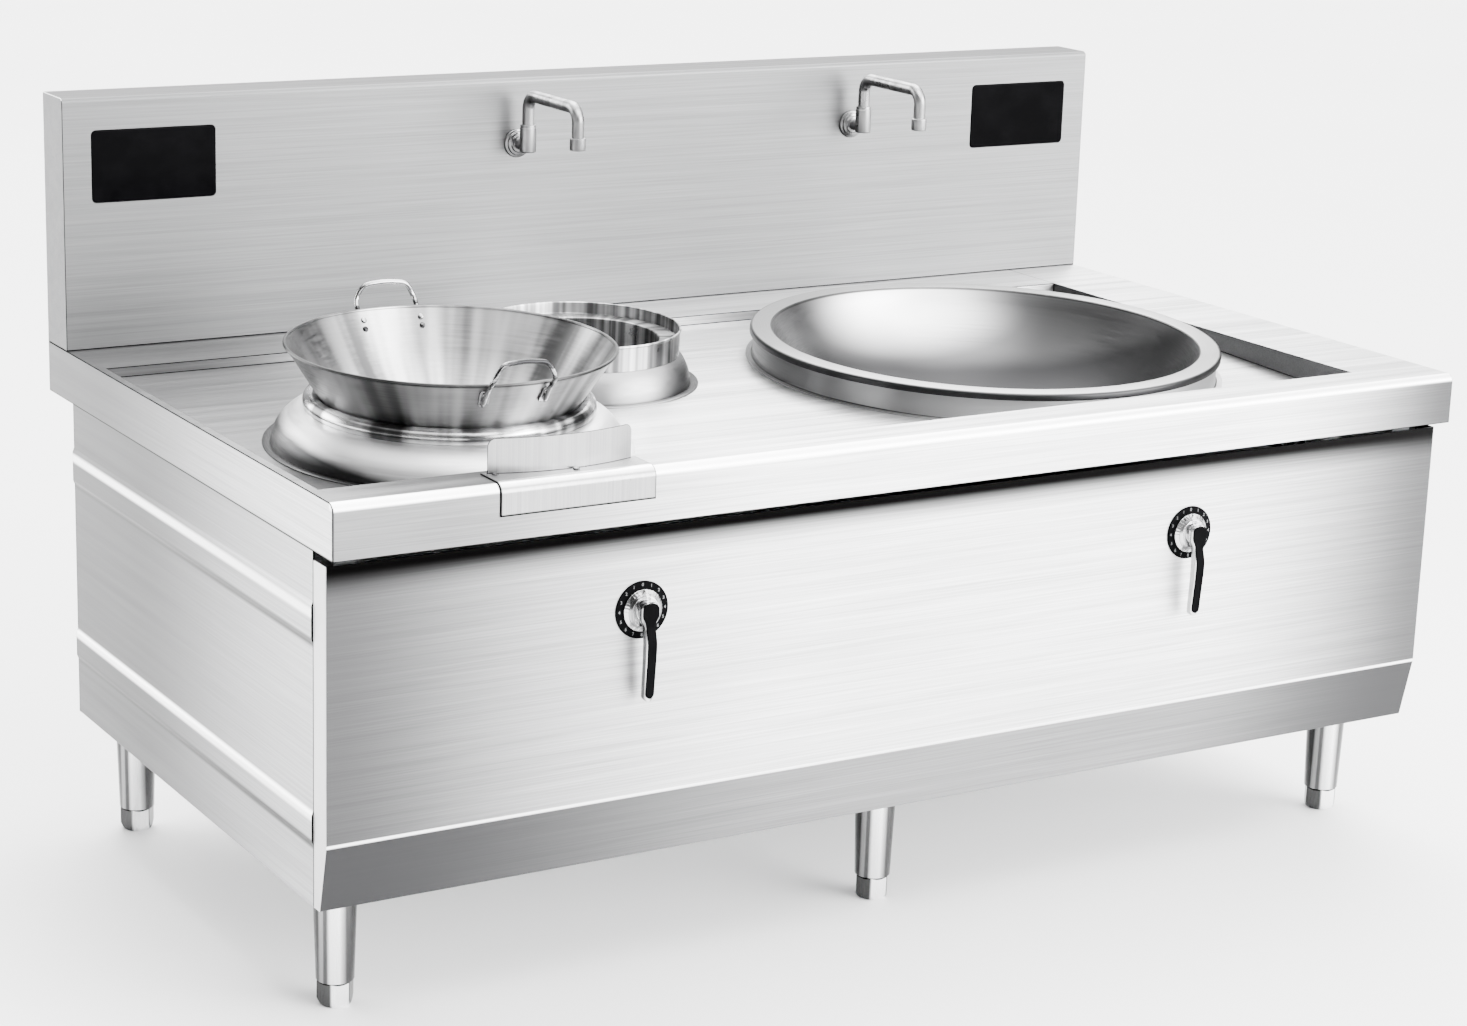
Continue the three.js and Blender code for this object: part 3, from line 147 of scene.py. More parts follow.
def rounded(points: Sequence, radius: Union[float, Sequence[float]], steps: int = 5,
            closed: bool = True) -> Array:
    """Rounds the corners of a polyline.

    At each corner an arc of the given radius touches both sides; its points are a spherical
    blend of the two radii that end on the sides.

    Args:
        points: Corner points, two or three numbers each.
        radius: One radius, or one for each corner.
        steps: Arc steps at each corner.
        closed: Whether the last point joins the first.

    Returns:
        Points of the rounded line, without repeats.
    """
    p = np.asarray(points, float)
    r = np.array(np.broadcast_to(radius, len(p)), float)
    if not closed:
        r[0] = r[-1] = 0.0
    a, b = np.roll(p, 1, 0) - p, np.roll(p, -1, 0) - p
    la = np.maximum(np.linalg.norm(a, axis=1, keepdims=True), TINY)
    lb = np.maximum(np.linalg.norm(b, axis=1, keepdims=True), TINY)
    a, b = a / la, b / lb
    half = np.arccos(np.clip((a * b).sum(1), -1, 1)) / 2
    half = np.clip(half, 1e-3, math.pi / 2 - 1e-4)
    reach = np.minimum(r / np.tan(half), ARC_SHARE * np.minimum(la, lb)[:, 0])
    reach = np.maximum(reach, LEAST_ARC)
    size = reach * np.tan(half)
    middle = (a + b) / np.maximum(np.linalg.norm(a + b, axis=1, keepdims=True), TINY)
    centre = p + middle * (size / np.sin(half))[:, None]
    start = p + a * reach[:, None] - centre
    end = p + b * reach[:, None] - centre
    angle = (math.pi - 2 * half)[:, None]
    t = np.linspace(0, 1, steps + 1)[None, :]
    w0 = (np.sin((1 - t) * angle) / np.sin(angle))[..., None]
    w1 = (np.sin(t * angle) / np.sin(angle))[..., None]
    line = (centre[:, None] + w0 * start[:, None] + w1 * end[:, None]).reshape(-1, p.shape[1])
    keep = np.linalg.norm(line - np.roll(line, 1, 0), axis=1) > REPEAT
    keep[0] = True
    return line[keep]


def arc(centre: Sequence[float], radius: float, start: float, end: float, steps: int) -> Array:
    """Points on a circle about centre, from one angle in degrees to another."""
    a = np.radians(np.linspace(start, end, steps + 1))
    return np.stack([centre[0] + radius * np.cos(a), centre[1] + radius * np.sin(a)], -1)


def spline(knots: Sequence[tuple[float, float]], at: Array) -> Array:
    """Smooth curve through (position, value) knots.

    Cubic Hermite pieces whose slopes are the mean slopes of the neighbouring knots.

    Args:
        knots: Pairs of a position and its value.
        at: Positions to read.

    Returns:
        The values there.
    """
    k = np.asarray(sorted(knots), float)
    x, y = k[:, 0], k[:, 1]
    slope = np.gradient(y, x)
    i = np.clip(np.searchsorted(x, at) - 1, 0, len(x) - 2)
    h = x[i + 1] - x[i]
    t = np.clip((at - x[i]) / h, 0, 1)
    return ((2 * t**3 - 3 * t**2 + 1) * y[i] + (t**3 - 2 * t**2 + t) * h * slope[i]
            + (-2 * t**3 + 3 * t**2) * y[i + 1] + (t**3 - t**2) * h * slope[i + 1])


def eased(value: Array, start: float, end: float) -> Array:
    """Smooth step from 0 at the start to 1 at the end: 3 t^2 - 2 t^3."""
    t = np.clip((value - start) / (end - start), 0, 1)
    return t * t * (3 - 2 * t)


def smoothed(mesh: bpy.types.Mesh, sharp: float) -> None:
    """Shades a mesh smooth but for edges over an angle in degrees."""
    mesh.shade_smooth()
    mesh.set_sharp_from_angle(angle=math.radians(sharp))


def closed_up(mesh: bpy.types.Mesh, sharp: float) -> None:
    """Closes poles and seams, turns faces outwards and smooths all but sharp edges.

    Args:
        mesh: Mesh to finish in place.
        sharp: Edge angle in degrees above which shading stays hard.
    """
    bm = bmesh.new()
    bm.from_mesh(mesh)
    bmesh.ops.remove_doubles(bm, verts=bm.verts, dist=1e-7)
    bmesh.ops.dissolve_degenerate(bm, edges=bm.edges, dist=1e-8)
    bmesh.ops.recalc_face_normals(bm, faces=bm.faces)
    bm.to_mesh(mesh)
    bm.free()
    smoothed(mesh, sharp)


def linked(name: str, mesh: bpy.types.Mesh) -> bpy.types.Object:
    """Makes an object at the origin for a mesh and links it to the scene.

    Args:
        name: Object name.
        mesh: Its mesh.

    Returns:
        The object.
    """
    obj = bpy.data.objects.new(name, mesh)
    bpy.context.scene.collection.objects.link(obj)
    return obj


def surface(name: str, grid: Array, wrap_rows: bool = False, wrap_cols: bool = True,
            sharp: float = SHADING) -> bpy.types.Object:
    """Skins a grid of points with quads.

    Cell (i, j) joins rows i and i+1 with columns j and j+1, modulo the size where it wraps.

    Args:
        name: Object name.
        grid: Points (rows, cols, 3), or several such grids (n, rows, cols, 3) in one piece.
        wrap_rows: Whether the last row joins the first.
        wrap_cols: Whether the last column joins the first.
        sharp: Edge angle in degrees above which shading stays hard.

    Returns:
        The new object.
    """
    stack = grid if grid.ndim == 4 else grid[None]
    count, rows, cols = stack.shape[:3]
    i = np.arange(rows if wrap_rows else rows - 1)[:, None]
    j = np.arange(cols if wrap_cols else cols - 1)[None, :]
    i2, j2 = (i + 1) % rows, (j + 1) % cols
    cell = np.stack([i * cols + j, i * cols + j2, i2 * cols + j2, i2 * cols + j], -1)
    first = (np.arange(count) * rows * cols)[:, None, None]
    faces = (cell.reshape(1, -1, 4) + first).reshape(-1, 4)
    mesh = bpy.data.meshes.new(name)
    mesh.from_pydata(stack.reshape(-1, 3).tolist(), [], faces.tolist())
    closed_up(mesh, sharp)
    return linked(name, mesh)


def capped(grid: Array) -> Array:
    """Closes the two ends of a tube-like grid with a pole at the middle of each end row."""
    ends = [np.broadcast_to(row.mean(0), row.shape) for row in (grid[0], grid[-1])]
    return np.concatenate([ends[0][None], grid, ends[1][None]])


def round_angles(count: int) -> Array:
    """Returns angles in radians, even round a full turn, without a repeat at its end."""
    return np.linspace(0, 2 * math.pi, count, endpoint=False)


def turned_grid(profile: Array, segments: int) -> Array:
    """Turns a profile about Z: the point (r, h) becomes (r cos a, r sin a, h).

    Args:
        profile: Pairs of a radius and a height.
        segments: Columns round the axis.

    Returns:
        Grid of points.
    """
    a = round_angles(segments)
    r, h = profile[:, :1], profile[:, 1:]
    return np.stack([r * np.cos(a), r * np.sin(a), h + 0 * a], -1)


def turned(name: str, profile: Array, place: Placing, segments: int = 128,
           closed: bool = True, sharp: float = SHADING) -> bpy.types.Object:
    """Piece of revolution.

    Args:
        name: Object name.
        profile: Section of (radius, height) pairs; a closed wall section, or a line from axis
            to axis.
        place: Carries local points to the world.
        segments: Columns round the axis.
        closed: Whether the section is a closed loop.
        sharp: Edge angle in degrees above which shading stays hard.

    Returns:
        The new object.
    """
    return surface(name, place(turned_grid(profile, segments)), wrap_rows=closed, sharp=sharp)


def swept_grid(path: Array, radius: Union[float, Array], side: Sequence[float],
               segments: int) -> Array:
    """Tube about a path: path + radius (side cos a + up sin a), up square to path and side.

    Args:
        path: Middle line.
        radius: One radius, or one for each point of the path.
        side: Direction that the columns are counted from.
        segments: Columns round the tube.

    Returns:
        Grid of points.
    """
    tangent = np.gradient(path, axis=0)
    tangent /= np.linalg.norm(tangent, axis=1, keepdims=True)
    across = np.asarray(side, float) - (tangent @ np.asarray(side, float))[:, None] * tangent
    across /= np.linalg.norm(across, axis=1, keepdims=True)
    up = np.cross(tangent, across)
    a = round_angles(segments)
    ring = across[:, None] * np.cos(a)[None, :, None] + up[:, None] * np.sin(a)[None, :, None]
    return path[:, None] + np.broadcast_to(radius, len(path))[:, None, None] * ring


def lofted_rings(levels: Sequence[tuple[float, Array]]) -> Array:
    """Stacks flat outlines of equal length at their heights into one grid."""
    return np.stack([np.column_stack([line, np.full(len(line), z)]) for z, line in levels])


def refined(node: str, name: str, bevel: float = 0.0006, segments: int = 2,
            angle: float = 28.0, lined: bool = False) -> bpy.types.Object:
    """Copies a frame node, joins its loose triangles into flat faces and bevels its edges.

    Args:
        node: Frame node to copy.
        name: Name of the new piece.
        bevel: Bevel width.
        segments: Bevel steps.
        angle: Smallest edge angle in degrees that is bevelled.
        lined: Whether the bevelled edges take the piece's second finish.

    Returns:
        The new object, at the origin as the node is.
    """
    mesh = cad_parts[node].data.copy()
    mesh.name = name
    bm = bmesh.new()
    bm.from_mesh(mesh)
    bmesh.ops.remove_doubles(bm, verts=bm.verts, dist=CAD_MERGE)
    bmesh.ops.dissolve_limit(bm, angle_limit=math.radians(FLAT_ANGLE), verts=bm.verts,
                             edges=bm.edges)
    bm.to_mesh(mesh)
    bm.free()
    smoothed(mesh, angle)
    obj = linked(name, mesh)
    edge = obj.modifiers.new("edge", "BEVEL")
    edge.width, edge.segments = bevel, segments
    edge.limit_method, edge.angle_limit = "ANGLE", math.radians(angle)
    edge.use_clamp_overlap = False
    edge.material = 1 if lined else -1
    flat = obj.modifiers.new("flat", "WEIGHTED_NORMAL")
    flat.keep_sharp = True
    return obj


# ------------------------------------------------------------------ finishes

WHITE: Colour = (1.0, 1.0, 1.0)
PAINTED_HIGHLIGHT: Colour = (0.97, 0.97, 0.975)  # painted highlights on folds and edges
PAINTED_DARK: Colour = (0.03, 0.03, 0.031)  # painted dark reflections and shade on steel, and dark edge lines
PAINTED_KICK_SHADE: Colour = (0.06, 0.06, 0.062)  # painted shade on the sheet that leans to the floor
UNLIT: Colour = (0.0006, 0.0006, 0.0006)  # gaps that no light reaches

FINEST = 420.0  # noise cells in a metre across a brushed grain
GRAIN_HIGH = 0.0002  # height of a surface grain in metres
AXIS_HOLE = 1e-4  # least radius that polar directions are worked out at


class Ease(Enum):
    """How a value goes from one end of a range to the other."""

    STRAIGHT = "LINEAR"
    SOFT = "SMOOTHSTEP"
    SOFTEST = "SMOOTHERSTEP"


class Graph:
    """Node tree built by small calls that return sockets."""

    def __init__(self, tree: bpy.types.NodeTree) -> None:
        """Takes a node tree over and empties it."""
        self.tree = tree
        self.tree.nodes.clear()

    def put(self, socket: bpy.types.NodeSocket, value: Value) -> None:
        """Links a socket into an input, or sets the input to a constant.

        Args:
            socket: The input.
            value: Output of another node, a number, a vector or a colour.
        """
        if isinstance(value, bpy.types.NodeSocket):
            self.tree.links.new(value, socket)
        elif isinstance(value, (int, float)):
            socket.default_value = value
        else:
            socket.default_value = (*value, 1.0) if socket.type == "RGBA" else tuple(value)

    def feed(self, node: bpy.types.Node, values: Union[Sequence[Value], dict]) -> bpy.types.Node:
        """Gives a node its input values.

        Args:
            node: The node.
            values: Values in the order of its inputs, or by the input's name or number.

        Returns:
            The same node.
        """
        for key, value in values.items() if isinstance(values, dict) else enumerate(values):
            self.put(node.inputs[key], value)
        return node

    def node(self, kind: str, values: Union[Sequence[Value], dict] = (),
             **settings: object) -> bpy.types.Node:
        """Adds a node.

        Args:
            kind: Type of the node.
            values: What its inputs get, as for feed.
            **settings: Its properties by name.

        Returns:
            The node.
        """
        made = self.tree.nodes.new(kind)
        for key, value in settings.items():
            setattr(made, key, value)
        return self.feed(made, values)

    def calc(self, operation: str, a: Socket, b: Socket = 0.0, c: Socket = 0.0) -> Socket:
        """Returns one Math operation of up to three values."""
        return self.node("ShaderNodeMath", (a, b, c), operation=operation).outputs[0]

    def weighted(self, *parts: tuple[Socket, float]) -> Socket:
        """Sum of values times their weights.

        Args:
            *parts: Pairs of a value and its weight.

        Returns:
            The sum.
        """
        total = self.calc("MULTIPLY", *parts[0])
        for value, weight in parts[1:]:
            total = self.calc("MULTIPLY_ADD", value, weight, total)
        return total

    def off(self, value: Socket, middle: float) -> Socket:
        """Returns the distance of a value from a middle."""
        return self.calc("ABSOLUTE", self.calc("SUBTRACT", value, middle))

    def radius(self, x: Socket, y: Socket) -> Socket:
        """Returns the length of a flat offset: the root of x x + y y."""
        squares = self.calc("ADD", self.calc("MULTIPLY", x, x), self.calc("MULTIPLY", y, y))
        return self.calc("SQRT", squares)

    def split(self, vector: Socket) -> tuple[Socket, ...]:
        """Splits a vector into its three numbers."""
        return tuple(self.node("ShaderNodeSeparateXYZ", (vector,)).outputs)

    def joined(self, x: Socket, y: Socket, z: Socket) -> Socket:
        """Joins three numbers into a vector."""
        return self.node("ShaderNodeCombineXYZ", (x, y, z)).outputs[0]

    def scaled(self, *parts: tuple[Socket, float]) -> Socket:
        """Joins three products of a value and a factor into a vector."""
        return self.joined(*(self.calc("MULTIPLY", *part) for part in parts))

    def mapped(self, vector: Socket, scale: Sequence[float] = (1, 1, 1),
               origin: Sequence[float] = (0, 0, 0), turn: Sequence[float] = (0, 0, 0)) -> Socket:
        """Moves a vector to a local frame, then scales it.

        Args:
            vector: Point to map.
            scale: Factors applied in the local frame.
            origin: Place that becomes zero.
            turn: Rotation of the local frame in radians.

        Returns:
            The mapped point.
        """
        local = self.node("ShaderNodeMapping", (vector, origin, turn), vector_type="TEXTURE")
        return self.node("ShaderNodeMapping", {"Vector": local.outputs[0], "Scale": scale},
                         vector_type="POINT").outputs[0]

    def noise(self, vector: Socket, scale: float, detail: float = 2.0, rough: float = 0.5,
              bend: float = 0.0) -> Socket:
        """Soft noise between 0 and 1.

        Args:
            vector: Where it is read.
            scale: Cells in one unit.
            detail: Octaves added to the first.
            rough: Share of the finer octaves.
            bend: How far the cells are bent.

        Returns:
            The noise.
        """
        return self.node("ShaderNodeTexNoise", {
            "Vector": vector, "Scale": scale, "Detail": detail, "Roughness": rough,
            "Distortion": bend}).outputs["Fac"]

    def spread(self, value: Socket, low: float, high: float, out_low: float = 0.0,
               out_high: float = 1.0, ease: Ease = Ease.STRAIGHT) -> Socket:
        """Maps a value from one range to another and clamps it there.

        Args:
            value: What is mapped.
            low: Start of its range.
            high: End of its range.
            out_low: Result at the start.
            out_high: Result at the end.
            ease: How it goes from one to the other.

        Returns:
            The result.
        """
        return self.node("ShaderNodeMapRange", {
            "Value": value, "From Min": low, "From Max": high, "To Min": out_low,
            "To Max": out_high}, interpolation_type=ease.value).outputs[0]

    def blend(self, amount: Socket, a: Union[Socket, Colour], b: Union[Socket, Colour]) -> Socket:
        """Returns a mix of two colours, a at the amount 0 and b at 1."""
        return self.node("ShaderNodeMix", {0: amount, 6: a, 7: b}, data_type="RGBA").outputs[2]

    def ramp(self, value: Socket, stops: Sequence[tuple[float, float]]) -> Socket:
        """Grey ramp.

        Args:
            value: What is looked up, from 0 to 1.
            stops: Pairs of a share from -1 to 1 and the tone there.

        Returns:
            The grey.
        """
        made = self.node("ShaderNodeValToRGB", (value,))
        knots = made.color_ramp.elements
        while len(knots) < len(stops):
            knots.new(0.5)
        for knot, (share, tone) in zip(knots, stops):
            knot.position, knot.color = 0.5 + share / 2, (tone, tone, tone * 1.01, 1.0)
        return made.outputs["Color"]


class Skin(Graph):
    """Graph of one material, round a Principled shader."""

    def __init__(self, name: str) -> None:
        """Starts a material.

        Args:
            name: Its name.
        """
        self.material = bpy.data.materials.new(name)
        self.material.use_nodes = True
        super().__init__(self.material.node_tree)
        self.shader = self.node("ShaderNodeBsdfPrincipled")
        self.node("ShaderNodeOutputMaterial", {"Surface": self.shader.outputs["BSDF"]})

    def object_place(self) -> Socket:
        """Returns the surface point in the piece's own coordinates."""
        return self.node("ShaderNodeTexCoord").outputs["Object"]

    def painted_shade_below(self, colour: Socket, low: float, high: float, strength: float) -> Socket:
        """Paints shade on the faces that look down.

        Args:
            colour: Colour underneath.
            low: Height of the unit normal where the dark is full.
            high: Height of the unit normal where it ends.
            strength: The full dark.

        Returns:
            The new colour.
        """
        facing = self.split(self.node("ShaderNodeNewGeometry").outputs["Normal"])[2]
        return self.blend(self.spread(facing, low, high, strength, 0.0), colour, PAINTED_DARK)

    def bump(self, height: Socket, strength: float, distance: float = GRAIN_HIGH) -> None:
        """Raises the shader's normal by a height times a distance."""
        sockets = {"Strength": strength, "Distance": distance, "Height": height}
        self.feed(self.shader, {"Normal": self.node("ShaderNodeBump", sockets).outputs[0]})

    def brushed(self, grain: Socket, amount: float) -> None:
        """Stretches reflections square to a grain direction, from 0 for round ones up to 1."""
        self.feed(self.shader, {
            "Tangent": grain, "Anisotropic": amount, "Anisotropic Rotation": 0.25})

    def surface(self, colour: Union[Socket, Colour], roughness: Socket, metallic: float = 1.0,
                coat: float = 0.0, gloss: float = 0.5) -> bpy.types.Material:
        """Sets the shader's main sockets.

        Args:
            colour: Base colour.
            roughness: From 0 for a mirror to 1.
            metallic: 1 for metal.
            coat: Share of a clear coat.
            gloss: Level of the plain reflection.

        Returns:
            The finished material.
        """
        self.feed(self.shader, {
            "Base Color": colour, "Roughness": roughness, "Metallic": metallic,
            "Coat Weight": coat, "Coat Roughness": 0.08, "Specular IOR Level": gloss})
        return self.material


@dataclass(frozen=True)
class Band:
    """Soft band of another tone along a plane, mostly painted light and shade.

    It paints a highlight on a fold, a shadow or a dark reflection, or a dark line on a joint.

    A band with a beside (axis, low, high) is kept to the points between those two planes.
    """

    axis: Axis
    at: float
    core: float
    reach: float
    colour: Colour
    strength: float = 1.0
    beside: Optional[tuple[Axis, float, float]] = None

    def over(self, g: Graph, place: Socket, colour: Socket) -> Socket:
        """Lays the band over a colour: full within the core, gone at the reach.

        Args:
            g: Graph of the material.
            place: Point in the piece's own coordinates.
            colour: Colour underneath.

        Returns:
            The new colour.
        """
        away = g.off(g.split(place)[self.axis.value], self.at)
        amount = g.spread(away, self.core, self.reach, self.strength, 0.0, Ease.SOFT)
        if self.beside:
            axis, low, high = self.beside
            off = g.off(g.split(place)[axis.value], (low + high) / 2)
            amount = g.calc("MULTIPLY", amount, g.calc("LESS_THAN", off, (high - low) / 2))
        return g.blend(amount, colour, self.colour)


@dataclass(frozen=True)
class BrushedSheet:
    """Stainless sheet with a straight grain.

    The grain is noise stretched along one axis: broader streaks, fine lines and slow clouds,
    added by their shares. Faces further out in X than ends have their grain along Y. The cells
    in a metre are given along the grain and across it. Bands paint highlights, shade and dark
    reflections over the grain.
    """

    name: str
    slot: str
    grain: Axis = Axis.X
    light: Colour = (0.74, 0.742, 0.746)
    dark: Colour = (0.44, 0.442, 0.446)
    roughness: float = 0.36
    stretch: float = 0.7
    bands: tuple[Band, ...] = ()
    ends: Optional[float] = None
    line_cells: tuple[float, float] = (3.2, FINEST)
    streak_cells: tuple[float, float] = (1.4, 60.0)
    cloud_cells: float = 2.2
    shares: tuple[float, float, float] = (0.26, 0.62, 0.12)
    tones: tuple[float, float] = (0.36, 0.64)

    def material(self) -> bpy.types.Material:
        """Builds the material.

        Returns:
            The material.
        """
        g = Skin(self.name)
        place = laid = g.object_place()
        way = g.joined(*self.grain.scale(1.0, 0.0))
        if self.ends is not None:
            x, y, z = g.split(place)
            side = g.calc("GREATER_THAN", g.calc("ABSOLUTE", x), self.ends)
            laid = g.blend(side, place, g.joined(y, x, z))
            way = g.blend(side, way, g.joined(0.0, 1.0, 0.0))
        lines = g.noise(g.mapped(laid, self.grain.scale(*self.line_cells)), 1.0, 3.0, 0.62)
        streaks = g.noise(g.mapped(laid, self.grain.scale(*self.streak_cells)), 1.0, 3.0, 0.6)
        clouds = g.noise(place, self.cloud_cells)
        tone = g.weighted(*zip((streaks, lines, clouds), self.shares))
        colour = g.blend(g.spread(tone, *self.tones), self.dark, self.light)
        rough = g.spread(streaks, 0.3, 0.7, self.roughness - 0.05, self.roughness + 0.06)
        # bands of painted highlight, shade and dark reflection, and dark lines
        for band in self.bands:
            colour = band.over(g, place, colour)
        g.bump(lines, 0.10)
        g.brushed(way, self.stretch)
        return g.surface(colour, rough)


@dataclass(frozen=True)
class PaintedDarkSide:
    """Painted dark side of a turned piece: dark reflection and shade painted into its colour.

    The dark grows with the sum of the local point's parts along a direction, from start to end.
    """

    way: tuple[float, float, float]
    start: float
    end: float
    strength: float
    waver: float = 0.05


@dataclass(frozen=True)
class PaintedBrightPatch:
    """Painted bright patch of a turned piece about a local point; it fades faster with height."""

    at: tuple[float, float, float]
    squash: float
    near: float
    far: float
    colour: Colour = PAINTED_HIGHLIGHT


@dataclass(frozen=True)
class TurnedSteel:
    """Spun or polished stainless about a station's axis.

    In polar terms the unit direction (x/r, y/r) makes noise that closes on itself: the radius
    and height scaled up by rings give fine rings of the spun grain, broken by breaks, and the
    direction scaled by rays gives broad rays of painted reflection, which drift with the radius.
    The rings' share of the tone is scratch. A painted dark side and a painted bright patch
    stand in for light and shade, and under paints shade on the faces that look down; lines are
    painted dark circles, shade in creases and dark reflections on rims, each of a radius, a half
    width and a tone.
    """

    name: str
    slot: str
    station: Station
    light: Colour = (0.66, 0.66, 0.665)
    dark: Colour = (0.16, 0.163, 0.166)
    roughness: float = 0.16
    stretch: float = 0.6
    rays: float = 5.0
    contrast: float = 0.30
    rings: float = 600.0
    dark_side: Optional[PaintedDarkSide] = None
    bright_patch: Optional[PaintedBrightPatch] = None
    under: float = 0.0
    lines: tuple[tuple[float, float, float], ...] = ()
    scratch: float = 0.3
    drift: float = 3.0
    breaks: float = 7.0

    def material(self) -> bpy.types.Material:
        """Builds the material.

        Returns:
            The material.
        """
        g = Skin(self.name)
        local = g.mapped(g.object_place(), origin=self.station.origin, turn=(FALL, 0, 0))
        x, y, z = g.split(local)
        r = g.calc("MAXIMUM", g.radius(x, y), AXIS_HOLE)
        ux, uy = g.calc("DIVIDE", x, r), g.calc("DIVIDE", y, r)
        # broad rays of painted reflection round the axis; the rings below are the spun grain
        rays = g.scaled((ux, self.rays), (uy, self.rays), (r, self.drift))
        rings = g.scaled((r, self.rings), (z, self.rings), (g.calc("ADD", ux, uy), self.breaks))
        wide, fine = g.noise(rays, 1.0, 2.0, 0.55), g.noise(rings, 1.0, 3.0, 0.6)
        half = self.contrast / 2
        tone = g.spread(g.weighted((wide, 1 - self.scratch), (fine, self.scratch)),
                        0.5 - half, 0.5 + half, ease=Ease.SOFT)
        rough = g.spread(fine, 0.3, 0.7, self.roughness * 0.8, self.roughness * 1.25)
        colour = g.blend(tone, self.dark, self.light)
        # painted dark reflection and shade on one side
        if self.dark_side:
            a, b, c = self.dark_side.way
            along = g.calc("SUBTRACT", g.weighted((z, c), (y, b), (x, a)), self.dark_side.waver / 2)
            along = g.calc("MULTIPLY_ADD", wide, self.dark_side.waver, along)
            amount = g.spread(along, self.dark_side.start, self.dark_side.end, 0.0,
                              self.dark_side.strength, Ease.SOFT)
            colour = g.blend(amount, colour, PAINTED_DARK)
        # painted bright patch
        if self.bright_patch:
            offset = g.mapped(local, (1, 1, self.bright_patch.squash), self.bright_patch.at)
            away = g.node("ShaderNodeVectorMath", (offset,), operation="LENGTH").outputs["Value"]
            amount = g.spread(away, self.bright_patch.near, self.bright_patch.far, 1.0, 0.0, Ease.SOFT)
            colour = g.blend(amount, colour, self.bright_patch.colour)
        # painted shade on the faces that look down
        if self.under:
            colour = g.painted_shade_below(colour, -0.15, 0.15, self.under)
        # painted dark rings: shade in creases and dark reflections on rims
        for radius, half, tone in self.lines:
            amount = g.spread(g.off(r, radius), max(half * 0.6, half - 0.001), half, 0.9, 0.0)
            colour = g.blend(amount, colour, (tone, tone, tone))
        g.bump(fine, 0.06)
        g.brushed(g.joined(g.calc("MULTIPLY", uy, -1.0), ux, 0.0), self.stretch)
        return g.surface(colour, rough)


@dataclass(frozen=True)
class Polished:
    """Bright tube or casting: lengthwise streaks of painted reflection, faint marks, finger smears.

    The streaks are noise that is stretched along the rod, so they run round it as light and
    dark stripes of painted reflection. Painted shade darkens the faces that look down, by under.
    """

    name: str
    slot: str
    grain: Axis = Axis.Z
    light: Colour = (0.80, 0.80, 0.805)
    dark: Colour = (0.06, 0.06, 0.062)
    roughness: float = 0.12
    stripes: float = 34.0
    under: float = 0.0
    smears: float = 26.0

    def material(self) -> bpy.types.Material:
        """Builds the material.

        Returns:
            The material.
        """
        g = Skin(self.name)
        place = g.object_place()
        marks = g.noise(g.mapped(place, self.grain.scale(8.0, FINEST)), 1.0, 3.0, 0.6)
        # lengthwise stripes of painted reflection
        stripe = g.noise(g.mapped(place, self.grain.scale(0.8, self.stripes)), 1.0, 1.0, 0.4)
        smears = g.noise(place, self.smears, 3.0, 0.6, bend=0.4)
        tone = g.spread(g.weighted((stripe, 0.8), (marks, 0.2)), 0.40, 0.56, ease=Ease.SOFT)
        colour = g.blend(tone, self.dark, self.light)
        # painted shade on the faces that look down
        if self.under:
            colour = g.painted_shade_below(colour, -0.7, 0.5, self.under)
        rough = g.spread(smears, 0.35, 0.7, self.roughness * 0.7, self.roughness * 1.6)
        g.bump(marks, 0.05)
        return g.surface(colour, rough)


@dataclass(frozen=True)
class Banded:
    """Polished upright tube with long light and dark reflections painted down its sides.

    The tone follows the share s = (x a + y b) / radius of a point's offset from the tube's own
    axis, which the piece carries as the attribute "about". A tube that overhangs a hexagon gets
    its shadow painted on it: edge holds the painted shadow's top, the radius it is counted from
    and its slant.
    """

    name: str
    slot: str
    radius: float
    stops: tuple[tuple[float, float], ...]
    way: tuple[float, float] = (0.86, -0.51)
    roughness: float = 0.26
    edge: Optional[tuple[float, float, float]] = None
    shadow_soft: float = 0.0004

    def material(self) -> bpy.types.Material:
        """Builds the material.

        Returns:
            The material.
        """
        g = Skin(self.name)
        about = g.node("ShaderNodeAttribute", attribute_name="about").outputs["Vector"]
        x, y, z = g.split(about)
        marks = g.noise(g.mapped(about, (FINEST, FINEST, 9.0)), 1.0, 3.0, 0.6)
        share = g.weighted((y, self.way[1] / self.radius), (x, self.way[0] / self.radius),
                           (marks, 0.03))
        # light and dark reflections painted round the tube
        colour = g.ramp(g.calc("MULTIPLY_ADD", share, 0.5, 0.5), self.stops)
        # the overhanging tube's shadow painted on the hexagon
        if self.edge:
            top, reach, slant = self.edge
            inwards = g.calc("SUBTRACT", reach, g.radius(x, y))
            line = g.calc("MULTIPLY_ADD", inwards, -slant, top)
            shade = g.spread(g.calc("SUBTRACT", z, line), -self.shadow_soft, self.shadow_soft)
            colour = g.blend(shade, colour, UNLIT)
        rough = g.spread(marks, 0.3, 0.7, self.roughness * 0.8, self.roughness * 1.3)
        g.bump(marks, 0.05)
        return g.surface(colour, rough)


